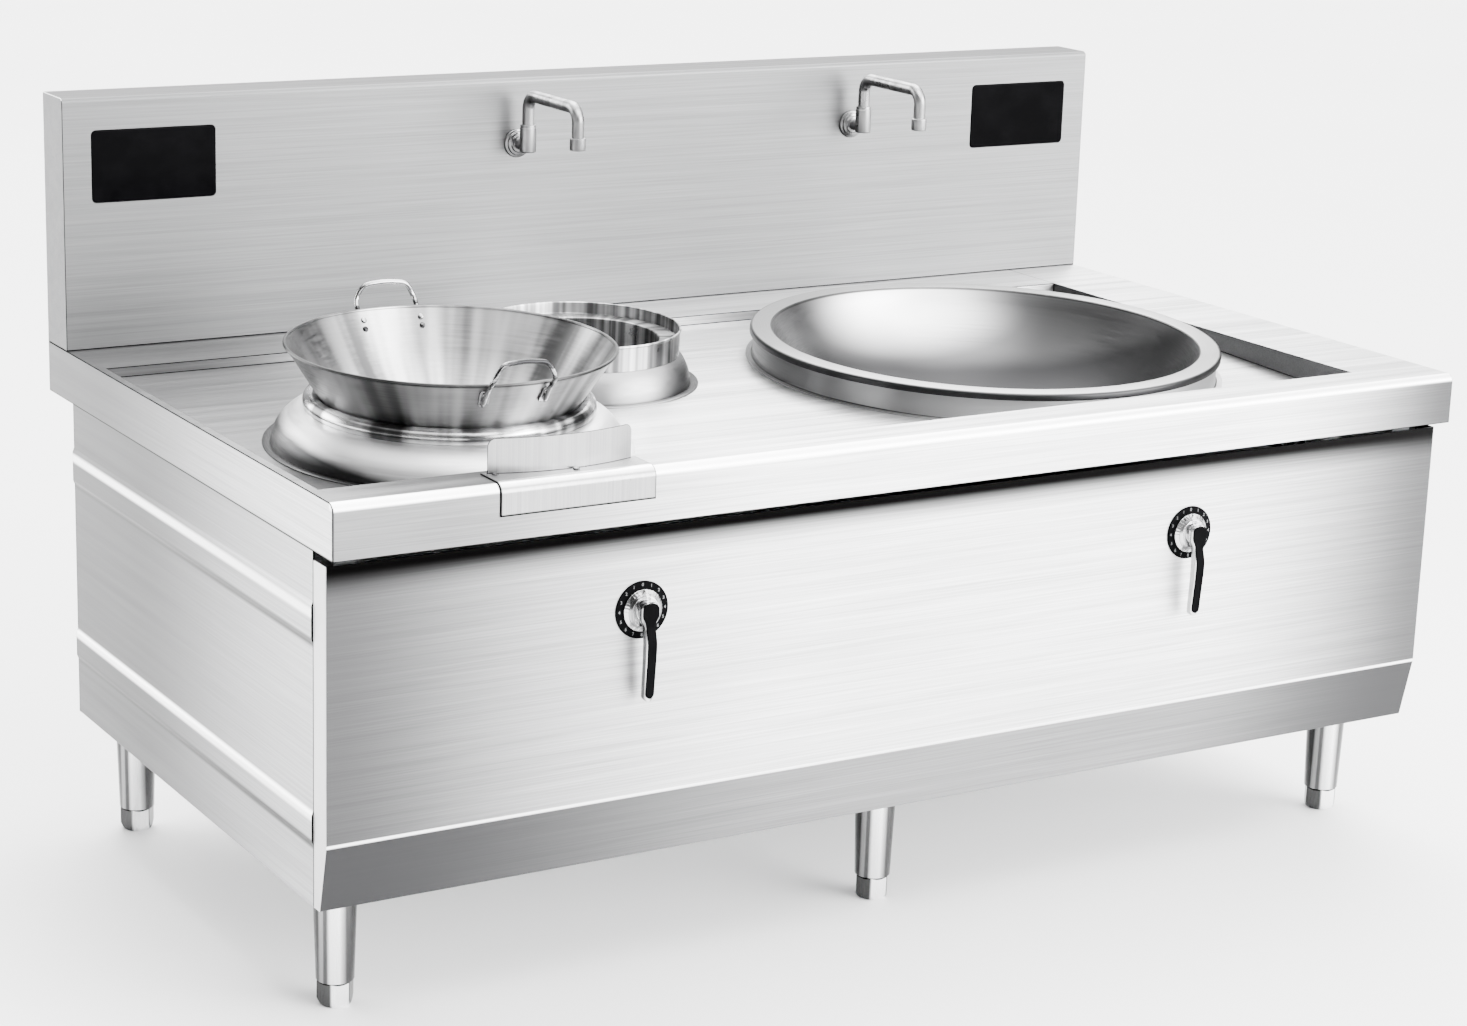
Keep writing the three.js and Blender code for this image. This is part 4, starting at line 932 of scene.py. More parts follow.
@dataclass(frozen=True)
class Moulded:
    """Black or grey moulding, enamel or glass: a fine pebble or a flow, with dust in the sheen."""

    name: str
    slot: str
    colour: Colour = (0.018, 0.018, 0.020)
    roughness: float = 0.42
    pebble: float = 900.0
    coat: float = 0.0
    metallic: float = 0.0
    gloss: float = 0.3
    bands: tuple[Band, ...] = ()
    dust: float = 14.0
    dust_tone: tuple[float, float] = (1.7, 0.0008)

    def material(self) -> bpy.types.Material:
        """Builds the material.

        Returns:
            The material.
        """
        g = Skin(self.name)
        place = g.object_place()
        dust = g.noise(place, self.dust, 4.0, 0.6)
        times, plus = self.dust_tone
        lighter = tuple(min(1.0, part * times + plus) for part in self.colour)
        colour = g.blend(g.spread(dust, 0.42, 0.75), self.colour, lighter)
        rough = g.spread(dust, 0.3, 0.7, self.roughness * 0.85, self.roughness * 1.2)
        # bands paint highlights over the moulding
        for band in self.bands:
            colour = band.over(g, place, colour)
        g.bump(g.noise(place, self.pebble), 0.06 if self.coat else 0.22)
        return g.surface(colour, rough, self.metallic, self.coat, self.gloss)


@dataclass(frozen=True)
class Wound:
    """Winding of enamelled copper wire about a station's axis: a wave of the radius."""

    name: str
    slot: str
    station: Station
    wire: float = 0.004
    dark: Colour = (0.12, 0.04, 0.02)
    light: Colour = (0.62, 0.27, 0.12)

    def material(self) -> bpy.types.Material:
        """Builds the material.

        Returns:
            The material.
        """
        g = Skin(self.name)
        x, y, _ = g.split(g.mapped(g.object_place(), origin=self.station.origin,
                                   turn=(FALL, 0, 0)))
        wave = g.calc("SINE", g.calc("MULTIPLY", g.radius(x, y), math.pi / self.wire))
        turns = g.calc("ABSOLUTE", wave)
        g.bump(turns, 0.6, 0.001)
        return g.surface(g.blend(turns, self.dark, self.light), 0.35)


Finish = Union[BrushedSheet, TurnedSteel, Polished, Banded, Moulded, Wound]

_made: dict[str, bpy.types.Material] = {}


def material_of(finish: Finish) -> bpy.types.Material:
    """Material of a finish, built once.

    Args:
        finish: The finish.

    Returns:
        Its material.
    """
    if finish.name not in _made:
        _made[finish.name] = finish.material()
    return _made[finish.name]


def fit_out(piece: bpy.types.Object, finish: Finish, body: str = "cabinet",
            stands_for: Sequence[str] = (), trim: Optional[Finish] = None) -> bpy.types.Object:
    """Gives a piece its finish and its body.

    Args:
        piece: Finished object at the origin.
        finish: What its surface is made of.
        body: Body that carries it.
        stands_for: Frame nodes that it takes the place of.
        trim: Second finish, for its bevelled edges.

    Returns:
        The same piece.
    """
    piece.data.materials.clear()
    for coat in (finish, trim) if trim else (finish,):
        piece.data.materials.append(material_of(coat))
    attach(piece, body)
    if stands_for:
        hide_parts(*stands_for)
    log.info("%s: %d faces on %s", piece.name, len(piece.data.polygons), body)
    return piece


def dress_node(node: str, finish: Finish) -> None:
    """Gives a frame node that stays visible a better material in its own slots.

    Args:
        node: The frame node.
        finish: What its surface is made of.
    """
    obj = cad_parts[node]
    for slot in obj.material_slots:
        slot.material = material_of(finish)
    log.info("%s: kept, %s", node, finish.name)


# ------------------------------------------------------------------ shared forms


def threaded(points: Sequence, count: int) -> Array:
    """Smooth line through points, even along its chord length.

    Each coordinate is a cubic Hermite curve of the summed chord length.

    Args:
        points: Knots, two or three numbers each.
        count: Number of points to return.

    Returns:
        Points of the line.
    """
    p = np.asarray(points, float)
    s = np.concatenate([[0], np.cumsum(np.linalg.norm(np.diff(p, axis=0), axis=1))])
    at = np.linspace(0, s[-1], count)
    return np.stack([spline(list(zip(s, p[:, k])), at) for k in range(p.shape[1])], -1)


def on_axis(line: Array) -> Array:
    """Puts the two ends of a section onto the axis."""
    line[0, 0] = line[-1, 0] = 0.0
    return line


def inset(line: Array, by: float) -> Array:
    """Moves each point of a closed outline inwards, square to its neighbours' chord.

    Args:
        line: Outline (n, 2), anticlockwise.
        by: Distance.

    Returns:
        The moved outline.
    """
    chord = np.roll(line, -1, 0) - np.roll(line, 1, 0)
    chord /= np.maximum(np.linalg.norm(chord, axis=1, keepdims=True), TINY)
    return line + by * np.stack([-chord[:, 1], chord[:, 0]], -1)


def slab_grid(line: Array, low: float, high: float, edge: float, steps: int = 3) -> Array:
    """Plate of a flat outline with rounded edges, closed at both faces.

    Level by level the outline is inset by edge (1 - sin a) at the height edge (1 - cos a).

    Args:
        line: Closed outline (n, 2), anticlockwise, in metres.
        low: Height of the lower face.
        high: Height of the upper face.
        edge: Radius of the rounded edges.
        steps: Steps of that rounding.

    Returns:
        Grid of points.
    """
    a = np.linspace(0, math.pi / 2, steps + 1)
    by, rise = edge * (1 - np.sin(a)), edge * (1 - np.cos(a))
    flat = inset(line, edge * 2.2)
    levels = [(low, flat)] + [(low + r, inset(line, b)) for b, r in zip(by, rise)]
    levels += [(high - r, inset(line, b)) for b, r in zip(by[::-1], rise[::-1])] + [(high, flat)]
    return capped(lofted_rings(levels))


def box_outline(wide: float, high: float, corner: float, steps: int = 5) -> Array:
    """Rounded rectangle about the origin, anticlockwise."""
    w, h = wide / 2, high / 2
    return rounded([(-w, -h), (w, -h), (w, h), (-w, h)], corner, steps)


def welded(name: str, parts: Sequence[bpy.types.Object],
           sharp: float = SHADING) -> bpy.types.Object:
    """Joins several objects' meshes into one object.

    Args:
        name: Name of the joined object.
        parts: Objects to join; they are removed.
        sharp: Edge angle in degrees above which shading stays hard.

    Returns:
        The joined object.
    """
    bm = bmesh.new()
    for part in parts:
        bm.from_mesh(part.data)
        old = part.data
        bpy.data.objects.remove(part)
        bpy.data.meshes.remove(old)
    mesh = bpy.data.meshes.new(name)
    bm.to_mesh(mesh)
    bm.free()
    smoothed(mesh, sharp)
    return linked(name, mesh)


def mark_place(piece: bpy.types.Object, origin: Array) -> None:
    """Stores each point's offset from an origin as the attribute "about".

    Args:
        piece: Object whose mesh gets it.
        origin: The origin in the world.
    """
    points = np.empty(len(piece.data.vertices) * 3)
    piece.data.vertices.foreach_get("co", points)
    store = piece.data.attributes.new("about", "FLOAT_VECTOR", "POINT")
    store.data.foreach_set("vector", (points.reshape(-1, 3) - origin).ravel())


def on_frame(at: Array, across: Array, up: Array, normal: Array, then: Placing) -> Placing:
    """Returns a placing on the axes across, up and normal at a point, carried on by then."""
    basis = np.stack([across, up, normal])
    return lambda local: then(local @ basis + at)


def numbered(name: str, text: str, size: float, at: tuple[float, float], place: Placing,
             thick: float = 0.0002) -> bpy.types.Object:
    """Makes one printed number as a thin mesh.

    Args:
        name: Object name.
        text: The characters.
        size: Height of the type in metres.
        at: Middle of the number in the local plane.
        place: Carries local points to the world.
        thick: Thickness of the print.

    Returns:
        The new object.
    """
    curve = bpy.data.curves.new(name, "FONT")
    curve.body, curve.size, curve.extrude = text, size, thick / 2
    curve.align_x, curve.align_y = "CENTER", "CENTER"
    stand = bpy.data.objects.new(name, curve)
    bpy.context.scene.collection.objects.link(stand)
    bpy.context.view_layer.update()
    mesh = bpy.data.meshes.new_from_object(stand)
    bpy.data.objects.remove(stand)
    bpy.data.curves.remove(curve)
    points = np.empty(len(mesh.vertices) * 3)
    mesh.vertices.foreach_get("co", points)
    moved = place(points.reshape(-1, 3) + np.array([at[0], at[1], 0.0]))
    mesh.vertices.foreach_set("co", moved.ravel())
    return linked(name, mesh)


# ------------------------------------------------------------------ cabinet


LEFT_FACE = (Axis.X, -1.2, -0.9985)  # left end of the worktop
KICK = (Axis.Z, 0.10, 0.290)  # part of the front panel that leans inwards
KICK_FOLD = 0.291  # height of the fold above it, where a highlight is painted
PANEL_FACE = -0.486  # world Y of the front panel
RIBS = ((0.619, 0.577), (0.324, 0.283))  # heights of each pressed rib's upper and lower fold

SHEET_ACROSS = BrushedSheet("brushed across", "brushed_sheet")
# Side panels: a darker copy of the sheet as painted shade, darker still towards the back; painted
# highlights on the ribs' upper folds and painted shadows on their lower ones; a dark line at the
# joint with the front panel and a painted shadow under the rim.
SHEET_DEEP = BrushedSheet(
    "brushed front to back", "brushed_sheet", Axis.Y, (0.46, 0.462, 0.466), (0.30, 0.302, 0.306),
    bands=(
        Band(Axis.Y, 0.50, 0.30, 1.10, PAINTED_DARK, 0.985),
        *(Band(Axis.Z, z, 0.0030, 0.0100, tone, strength) for upper, lower in RIBS
          for z, tone, strength in ((upper, PAINTED_HIGHLIGHT, 1.0), (lower, UNLIT, 0.90))),
        Band(Axis.Y, PANEL_FACE, 0.0010, 0.0026, UNLIT),
        Band(Axis.Z, 0.710, 0.0025, 0.0050, UNLIT)))
# Worktop: painted dark reflections towards both ends of the rim and the back of the left face, a
# painted highlight along the rim's rounded top edge, dark lines on the left end's edges and across
# the top at x 0.85, and a painted shadow along the left face's foot.
SHEET_TOP = BrushedSheet("brushed worktop", "brushed_sheet", ends=0.9985, bands=(
    Band(Axis.X, -1.0, 0.16, 0.76, PAINTED_DARK, 0.80, (Axis.X, -0.9985, 1.2)),
    Band(Axis.Y, 0.557, 0.20, 1.25, PAINTED_DARK, 0.985, LEFT_FACE),
    Band(Axis.X, 1.0, 0.0, 0.42, PAINTED_DARK, 0.96, (Axis.Y, -0.7, -0.5560)),
    Band(Axis.Z, RIM_TOP, 0.0070, 0.0130, PAINTED_HIGHLIGHT, 0.9, (Axis.Y, -0.7, -0.5450)),
    Band(Axis.X, -1.0, 0.0014, 0.0030, PAINTED_DARK, 0.93, (Axis.Y, -0.7, -0.5545)),
    Band(Axis.Z, RIM_TOP, 0.0012, 0.0026, PAINTED_DARK, 0.90, (Axis.X, -1.2, -0.9990)),
    Band(Axis.Z, RIM_FOOT, 0.0016, 0.0032, PAINTED_DARK, 0.93, LEFT_FACE),
    Band(Axis.X, 0.850, 0.0006, 0.0012, PAINTED_DARK, 0.92, (Axis.Y, -0.480, 0.6))))
# Backsplash: a much darker copy of the sheet as painted shade, darker still towards the left end, a
# dark line along its top and a painted shadow at its foot on the worktop.
SHEET_SPLASH = BrushedSheet(
    "brushed backsplash", "brushed_sheet", Axis.X, (0.165, 0.166, 0.168), (0.118, 0.119, 0.120),
    0.46, 0.45, bands=(
        Band(Axis.X, -1.0, 0.05, 0.60, PAINTED_DARK, 0.25),
        Band(Axis.Z, SPLASH_TOP, 0.0004, 0.0008, (0.05, 0.05, 0.051)),
        Band(Axis.Z, RIM_TOP, 0.0016, 0.0026, UNLIT)))
# Front panel: painted dark reflections towards both ends; painted shade on the kick, darker at its
# ends; a dark line at the joint with the side panel; painted highlights on the kick's fold and the
# left corner return; a painted shadow under the rim.
SHEET_FRONT = BrushedSheet(
    "brushed front", "brushed_sheet", roughness=0.46, stretch=0.5, bands=(
        Band(Axis.X, -1.0, 0.0, 0.84, PAINTED_DARK, 0.955),
        Band(Axis.X, 1.0, 0.0, 0.52, PAINTED_DARK, 0.94),
        Band(Axis.Z, 0.189, 0.099, 0.104, PAINTED_KICK_SHADE, 0.68),
        Band(Axis.X, -1.0, 0.0, 0.95, PAINTED_DARK, 0.75, KICK),
        Band(Axis.X, 1.0, 0.0, 0.60, PAINTED_DARK, 0.75, KICK),
        Band(Axis.Y, PANEL_FACE, 0.0008, 0.0020, PAINTED_DARK),
        Band(Axis.Z, KICK_FOLD, 0.0010, 0.0035, PAINTED_HIGHLIGHT),
        Band(Axis.Z, 0.700, 0.014, 0.060, UNLIT),
        Band(Axis.X, -0.997, 0.0008, 0.0012, (0.62, 0.62, 0.624))))
# Guard: a darker copy of the sheet as painted shade, a painted highlight on its top fold and
# painted shadows along its lower and side edges.
GUARD_SHEET = BrushedSheet(
    "brushed guard", "brushed_sheet", Axis.Z, (0.40, 0.40, 0.404), (0.30, 0.30, 0.303), 0.32,
    bands=(
        Band(Axis.Z, 0.7918, 0.0030, 0.0090, PAINTED_HIGHLIGHT, 0.9, (Axis.Y, -0.7, -0.5420)),
        Band(Axis.Z, 0.7443, 0.0016, 0.0040, UNLIT),
        Band(Axis.X, -0.750, 0.0016, 0.0040, UNLIT),
        Band(Axis.X, -0.504, 0.0010, 0.0024, UNLIT, 0.9)))
# Trims of bevelled edges: dark on every bevelled edge, seams and painted edge shade; the
# backsplash's trim has a painted highlight along its top edge.
SEAM_AND_EDGE_SHADE = Moulded("seam and painted edge shade", "brushed_sheet", (0.003, 0.003, 0.0032), 0.6, gloss=0.01)
EDGE_TRIM_TOP_HIGHLIGHT = replace(SEAM_AND_EDGE_SHADE, name="seam with painted top highlight",
                   bands=(Band(Axis.Z, SPLASH_TOP, 0.003, 0.004, PAINTED_HIGHLIGHT),))
FRAME_STEEL = Moulded("painted angle", "frame_steel", (0.20, 0.205, 0.21), 0.5, 700.0, 0.0, 0.7)
BLACK_GLASS = Moulded("black glass", "display_glass", (0.0006, 0.0006, 0.0008), 0.12, 60.0,
                      gloss=0.015)
BLACK_PLASTIC = Moulded("black plastic", "black_plastic", (0.020, 0.020, 0.022), 0.38)
DEEP_BLACK = Moulded("satin black", "black_plastic", (0.0012, 0.0012, 0.0014), 0.5, gloss=0.01)
PRINT_GREY = Moulded("printed grey", "black_plastic", (0.16, 0.16, 0.165), 0.5, 400.0, gloss=0.1)
CAST_ALUMINIUM = Moulded("cast aluminium", "housing_metal", (0.52, 0.53, 0.54), 0.42, 500.0,
                         metallic=1.0)
CERAMIC = Moulded("glass ceramic", "glass_ceramic", (0.012, 0.012, 0.013), 0.12, 80.0, coat=0.8)
# Legs and feet: light and dark reflections painted round the tube and the foot, and the tube's
# shadow painted on the foot's hexagon.
TUBE_STEEL = Banded("polished tube", "polished_steel", 0.0305, (
    (-1.0, 0.03), (-0.72, 0.03), (-0.62, 0.24), (-0.48, 0.24), (-0.42, 0.07), (-0.28, 0.07),
    (-0.10, 0.85), (0.33, 0.97), (0.45, 0.50), (0.64, 0.07), (1.0, 0.04)))
FOOT_STEEL = Banded("polished foot", "polished_steel", 0.028, (
    (-1.0, 0.05), (-0.15, 0.06), (-0.11, 0.40), (-0.07, 0.40), (-0.04, 0.97), (0.78, 0.97),
    (0.80, 0.08), (0.90, 0.08), (0.94, 0.60), (1.0, 0.60)), edge=(0.038, 0.0282, 0.9))
# Chrome and rods: lengthwise stripes of painted reflection; the taps also get painted shade on the
# faces that look down.
LEVER_CHROME = Polished("chromed lever", "chrome_fittings", Axis.Z, (0.62, 0.62, 0.625),
                        (0.16, 0.16, 0.163), 0.18, 90.0)
CHROME = Polished("chromed brass", "chrome_fittings", Axis.Z, (0.40, 0.40, 0.403),
                  (0.22, 0.22, 0.222), 0.36, 60.0, under=0.95)
HANDLE_STEEL = Polished("bright rod", "wok_steel", Axis.X, (0.44, 0.44, 0.444),
                        (0.02, 0.02, 0.021), 0.20)


@dataclass(frozen=True)
class Cabinet:
    """Folded sheets, angle frame and floor pan."""

    edge: float = 0.0008
    fold: float = 0.0016
    top_edge: float = 0.0012

    def build(self) -> None:
        """Makes and dresses every sheet of the cabinet."""
        fit_out(refined("worktop", "worktop_sheet", self.top_edge, lined=True), SHEET_TOP,
                stands_for=("worktop",), trim=SEAM_AND_EDGE_SHADE)
        for node, finish, edge, angle in (("front_panel", SHEET_FRONT, self.fold, 8.0),
                                          ("left_side_panel", SHEET_DEEP, self.fold, 8.0),
                                          ("right_side_panel", SHEET_DEEP, self.fold, 8.0),
                                          ("rear_panel", SHEET_ACROSS, self.edge, 28.0)):
            fit_out(refined(node, f"{node}_sheet", edge, 3, angle), finish, stands_for=(node,))
        dress_node("floor_pan", SHEET_ACROSS)
        for node in ("base_frame", "top_frame", "front_left_post", "front_right_post",
                     "back_left_post", "back_right_post"):
            dress_node(node, FRAME_STEEL)


@dataclass(frozen=True)
class Backsplash:
    """Casing, back cover and the two black displays."""

    display_x: float = 0.848
    display_z: float = 1.0845
    display_face: float = 1.031
    size: tuple[float, float] = (0.208, 0.114)
    corner: float = 0.007
    thick: float = 0.004
    edge: float = 0.0010
    glass_edge: float = 0.0007

    def build(self) -> None:
        """Makes and dresses the backsplash."""
        fit_out(refined("backsplash_shell", "backsplash_casing", self.edge, lined=True),
                SHEET_SPLASH, stands_for=("backsplash_shell",), trim=EDGE_TRIM_TOP_HIGHLIGHT)
        fit_out(refined("backsplash_back_cover", "backsplash_cover"), SHEET_ACROSS,
                stands_for=("backsplash_back_cover",))
        for side, sign in (("left", -1), ("right", 1)):
            glass = slab_grid(box_outline(*self.size, self.corner, 8), -self.thick, 0.0,
                              self.glass_edge)
            place = facing_front(sign * self.display_x, self.display_face, self.display_z)
            fit_out(surface(f"{side}_display_pane", place(glass)), BLACK_GLASS,
                    stands_for=(f"{side}_display_glass",))
            dress_node(f"{side}_display_board", BLACK_PLASTIC)


@dataclass(frozen=True)
class Leg:
    """Tapered tube with a bush, a top plate and a hexagonal levelling foot."""

    name: str
    x: float
    y: float
    top: float = 0.1902
    plate: float = 0.090
    plate_thick: float = 0.004
    plate_corner: float = 0.006
    plate_edge: float = 0.0006
    bead: float = 0.0022
    top_radius: float = 0.0325
    foot_radius: float = 0.028
    foot_high: float = 0.038
    bottom_radius: float = 0.0255
    chamfer: float = 0.012
    facet_angle: float = -96.0
    thread: tuple[float, float] = (0.0080, 0.0070)
    thread_top: float = 0.058
    half_pitch: float = 0.001
    bore: float = 0.0083
    bush: float = 0.024
    sole: tuple[float, float] = (0.0012, 0.0006)
    sole_cone: tuple[float, float] = (0.0028, 0.45)
    crown: float = 0.004
    crown_in: float = 0.0006
    columns: int = 180

    def build(self) -> None:
        """Makes and dresses the leg and its foot."""
        place = shifted(self.x, self.y, 0.0)
        low, under = self.foot_high + HAIR, self.top - self.plate_thick
        r0, r1, high = self.foot_radius, self.top_radius, under + 0.0005
        wall = rounded([(self.bore, low), (r0, low), (r1, high), (r1 - 0.002, high),
                        (r0 - 0.0015, low + self.bush), (self.bore, low + self.bush)],
                       [0.0002, 0.0008, 0.0002, 0.0002, 0.001, 0.0002], 3)
        tube = turned("tube", wall, place, 72)
        square = box_outline(self.plate, self.plate, self.plate_corner)
        plate = surface("plate", place(slab_grid(square, under, self.top, self.plate_edge)))
        weld = arc((r1 - 0.001, under - 0.0012), self.bead, 0, 360, 12)[:-1]
        bead = turned("weld", weld, place, 72)
        leg = welded(f"{self.name}_leg_tube", [tube, plate, bead])
        foot = self.foot(place)
        for piece in (leg, foot):
            mark_place(piece, place(np.zeros(3)))
        fit_out(leg, TUBE_STEEL, stands_for=(f"{self.name}_leg",))
        fit_out(foot, FOOT_STEEL, f"{self.name}_foot_body", (f"{self.name}_foot",))

    def foot(self, place: Placing) -> bpy.types.Object:
        """Hexagonal foot on a screw stem.

        Round the axis the radius is the lesser of the hexagon's edge distance, foot_radius
        cos 30 / cos(angle from the facet's middle), and of two cones that cut its corners:
        sole_cone is the lower one's inset at the ground and its slope.

        Args:
            place: Carries local points to the world.

        Returns:
            The foot.
        """
        a = round_angles(self.columns)
        facet = (a - math.radians(self.facet_angle) + math.pi / 6) % (math.pi / 3) - math.pi / 6
        hexagon = self.foot_radius * math.cos(math.pi / 6) / np.cos(facet)
        crown = self.foot_high - self.crown
        z = np.concatenate([np.linspace(0, self.chamfer, 13),
                            np.linspace(self.chamfer, crown, 6)[1:],
                            np.linspace(crown, self.foot_high, 6)[1:]])
        inset_by, slope = self.sole_cone
        low = self.bottom_radius - inset_by + z * slope
        high = self.foot_radius - self.crown_in + self.foot_high - z
        r = np.minimum(hexagon[None], np.minimum(low, high)[:, None])
        r = np.concatenate([r[:1] - self.sole[0], r])
        z = np.concatenate([[0.0], np.maximum(z, self.sole[1])])
        nut = surface("nut", place(capped(np.stack(
            [r * np.cos(a), r * np.sin(a), np.repeat(z[:, None], len(a), 1)], -1))), sharp=18.0)
        stem = turned("stem", self.stem(), place, 32, closed=False)
        return welded(f"{self.name}_foot_nut", [nut, stem], 24.0)

    def stem(self) -> Array:
        """Section of the screw stem: a saw-tooth between the stem's radii.

        Returns:
            Pairs of a radius and a height, from axis to axis.
        """
        step = self.half_pitch
        z = np.arange(self.foot_high - step, self.foot_high + self.thread_top, step)
        line = np.column_stack([np.where(np.arange(len(z)) % 2, *self.thread), z])
        return np.concatenate([[[0.0, z[0]]], line, [[0.0, z[-1]]]])


# ------------------------------------------------------------------ wok station


WOK_AT = Station(-0.650, 0.362)
TAIL_AT = Station(-0.284, 0.632)
BIG_AT = Station(0.400, 0.482)
DRAIN_AT = Station(0.790, 0.135)

# Turned finishes: broad rays of painted reflection; base tones that differ from piece to piece as
# painted light and shade; painted dark sides, a painted bright patch in the large wok and painted
# dark rings at creases and rims.
WOK_STEEL = TurnedSteel(
    "brushed wok", "wok_steel", WOK_AT, (0.66, 0.66, 0.665), (0.09, 0.09, 0.091), 0.36, 0.85, 4.6,
    0.36, 240.0, dark_side=PaintedDarkSide((-1.0, 0.3, 0.0), 0.05, 0.24, 0.86), under=0.25,
    lines=((0.2445, 0.0034, 0.02),), scratch=0.10)
BIG_STEEL = TurnedSteel(
    "spun large wok", "wok_steel", BIG_AT, (0.12, 0.12, 0.122), (0.08, 0.08, 0.081), 0.36, 0.5, 1.6,
    0.5, dark_side=PaintedDarkSide((-0.4, -1.0, -2.0), -0.21, -0.10, 0.95),
    bright_patch=PaintedBrightPatch((0.06, 0.335, 0.02), 2.6, 0.03, 0.23),
    lines=((0.3735, 0.0160, 0.42), (0.3560, 0.0024, 0.02), (0.3885, 0.0009, 0.06)), scratch=0.15)
COLLAR_STEEL = TurnedSteel(
    "spun collar", "polished_steel", WOK_AT, (0.92, 0.92, 0.925), (0.76, 0.76, 0.765), 0.40, 0.5,
    2.0, 0.6, dark_side=PaintedDarkSide((-1.0, 0.36, -5.0), 0.03, 0.12, 0.985),
    lines=((0.2640, 0.0014, 0.03),), scratch=0.15)
ROLL_STEEL = TurnedSteel(
    "polished roll", "polished_steel", WOK_AT, (0.84, 0.84, 0.845), (0.08, 0.08, 0.081), 0.20,
    rays=4.6, contrast=0.24, scratch=0.05)
TAIL_STEEL = TurnedSteel(
    "spun tail ring", "polished_steel", TAIL_AT, (0.72, 0.72, 0.725), (0.12, 0.12, 0.122), 0.32,
    0.3, 8.0, 0.36, 30.0, scratch=0.0)
DOME_STEEL = TurnedSteel(
    "spun tail foot", "polished_steel", TAIL_AT, (0.34, 0.34, 0.343), (0.26, 0.26, 0.263), 0.40,
    0.5, 2.0, 0.5, dark_side=PaintedDarkSide((1.0, 0.0, -1.0), 0.0, 0.13, 0.985),
    lines=((0.1780, 0.0014, 0.03),), scratch=0.15)
WELL_STEEL = TurnedSteel(
    "spun well", "brushed_sheet", TAIL_AT, (0.52, 0.52, 0.524), (0.08, 0.08, 0.081), 0.32, 0.3,
    10.0, 0.36, 30.0, scratch=0.0)
SKIRT_STEEL = TurnedSteel(
    "spun skirt", "polished_steel", BIG_AT, (0.74, 0.74, 0.744), (0.60, 0.60, 0.604), 0.40, 0.5,
    1.6, 0.6, dark_side=PaintedDarkSide((-1.0, 0.1, 0.0), 0.05, 0.42, 0.80),
    lines=((0.3875, 0.0014, 0.03),), scratch=0.15)
DRAIN_STEEL = TurnedSteel("spun drain", "polished_steel", DRAIN_AT)


def flange_section(reach: float, foot: float, curve: Sequence[tuple[float, float]],
                   seat: tuple[float, float], count: int) -> tuple[Array, Array]:
    """Section of a flange that lies on the worktop, and of the dome's outside above it.

    Args:
        reach: Radius of the flange.
        foot: Radius where the dome starts.
        curve: Knots of the dome in millimetres inside the foot and over the worktop.
        seat: Last point of the dome, in metres.
        count: Points of the dome.

    Returns:
        The flange's points and the dome's points.
    """
    edge = [(reach, HAIR), (reach, 0.0014), (reach - 0.0005, FLANGE), (foot + 0.0012, FLANGE)]
    knots = [(foot - i / 1000, h / 1000) for i, h in curve] + list(seat)
    return np.array(edge), threaded(knots, count)


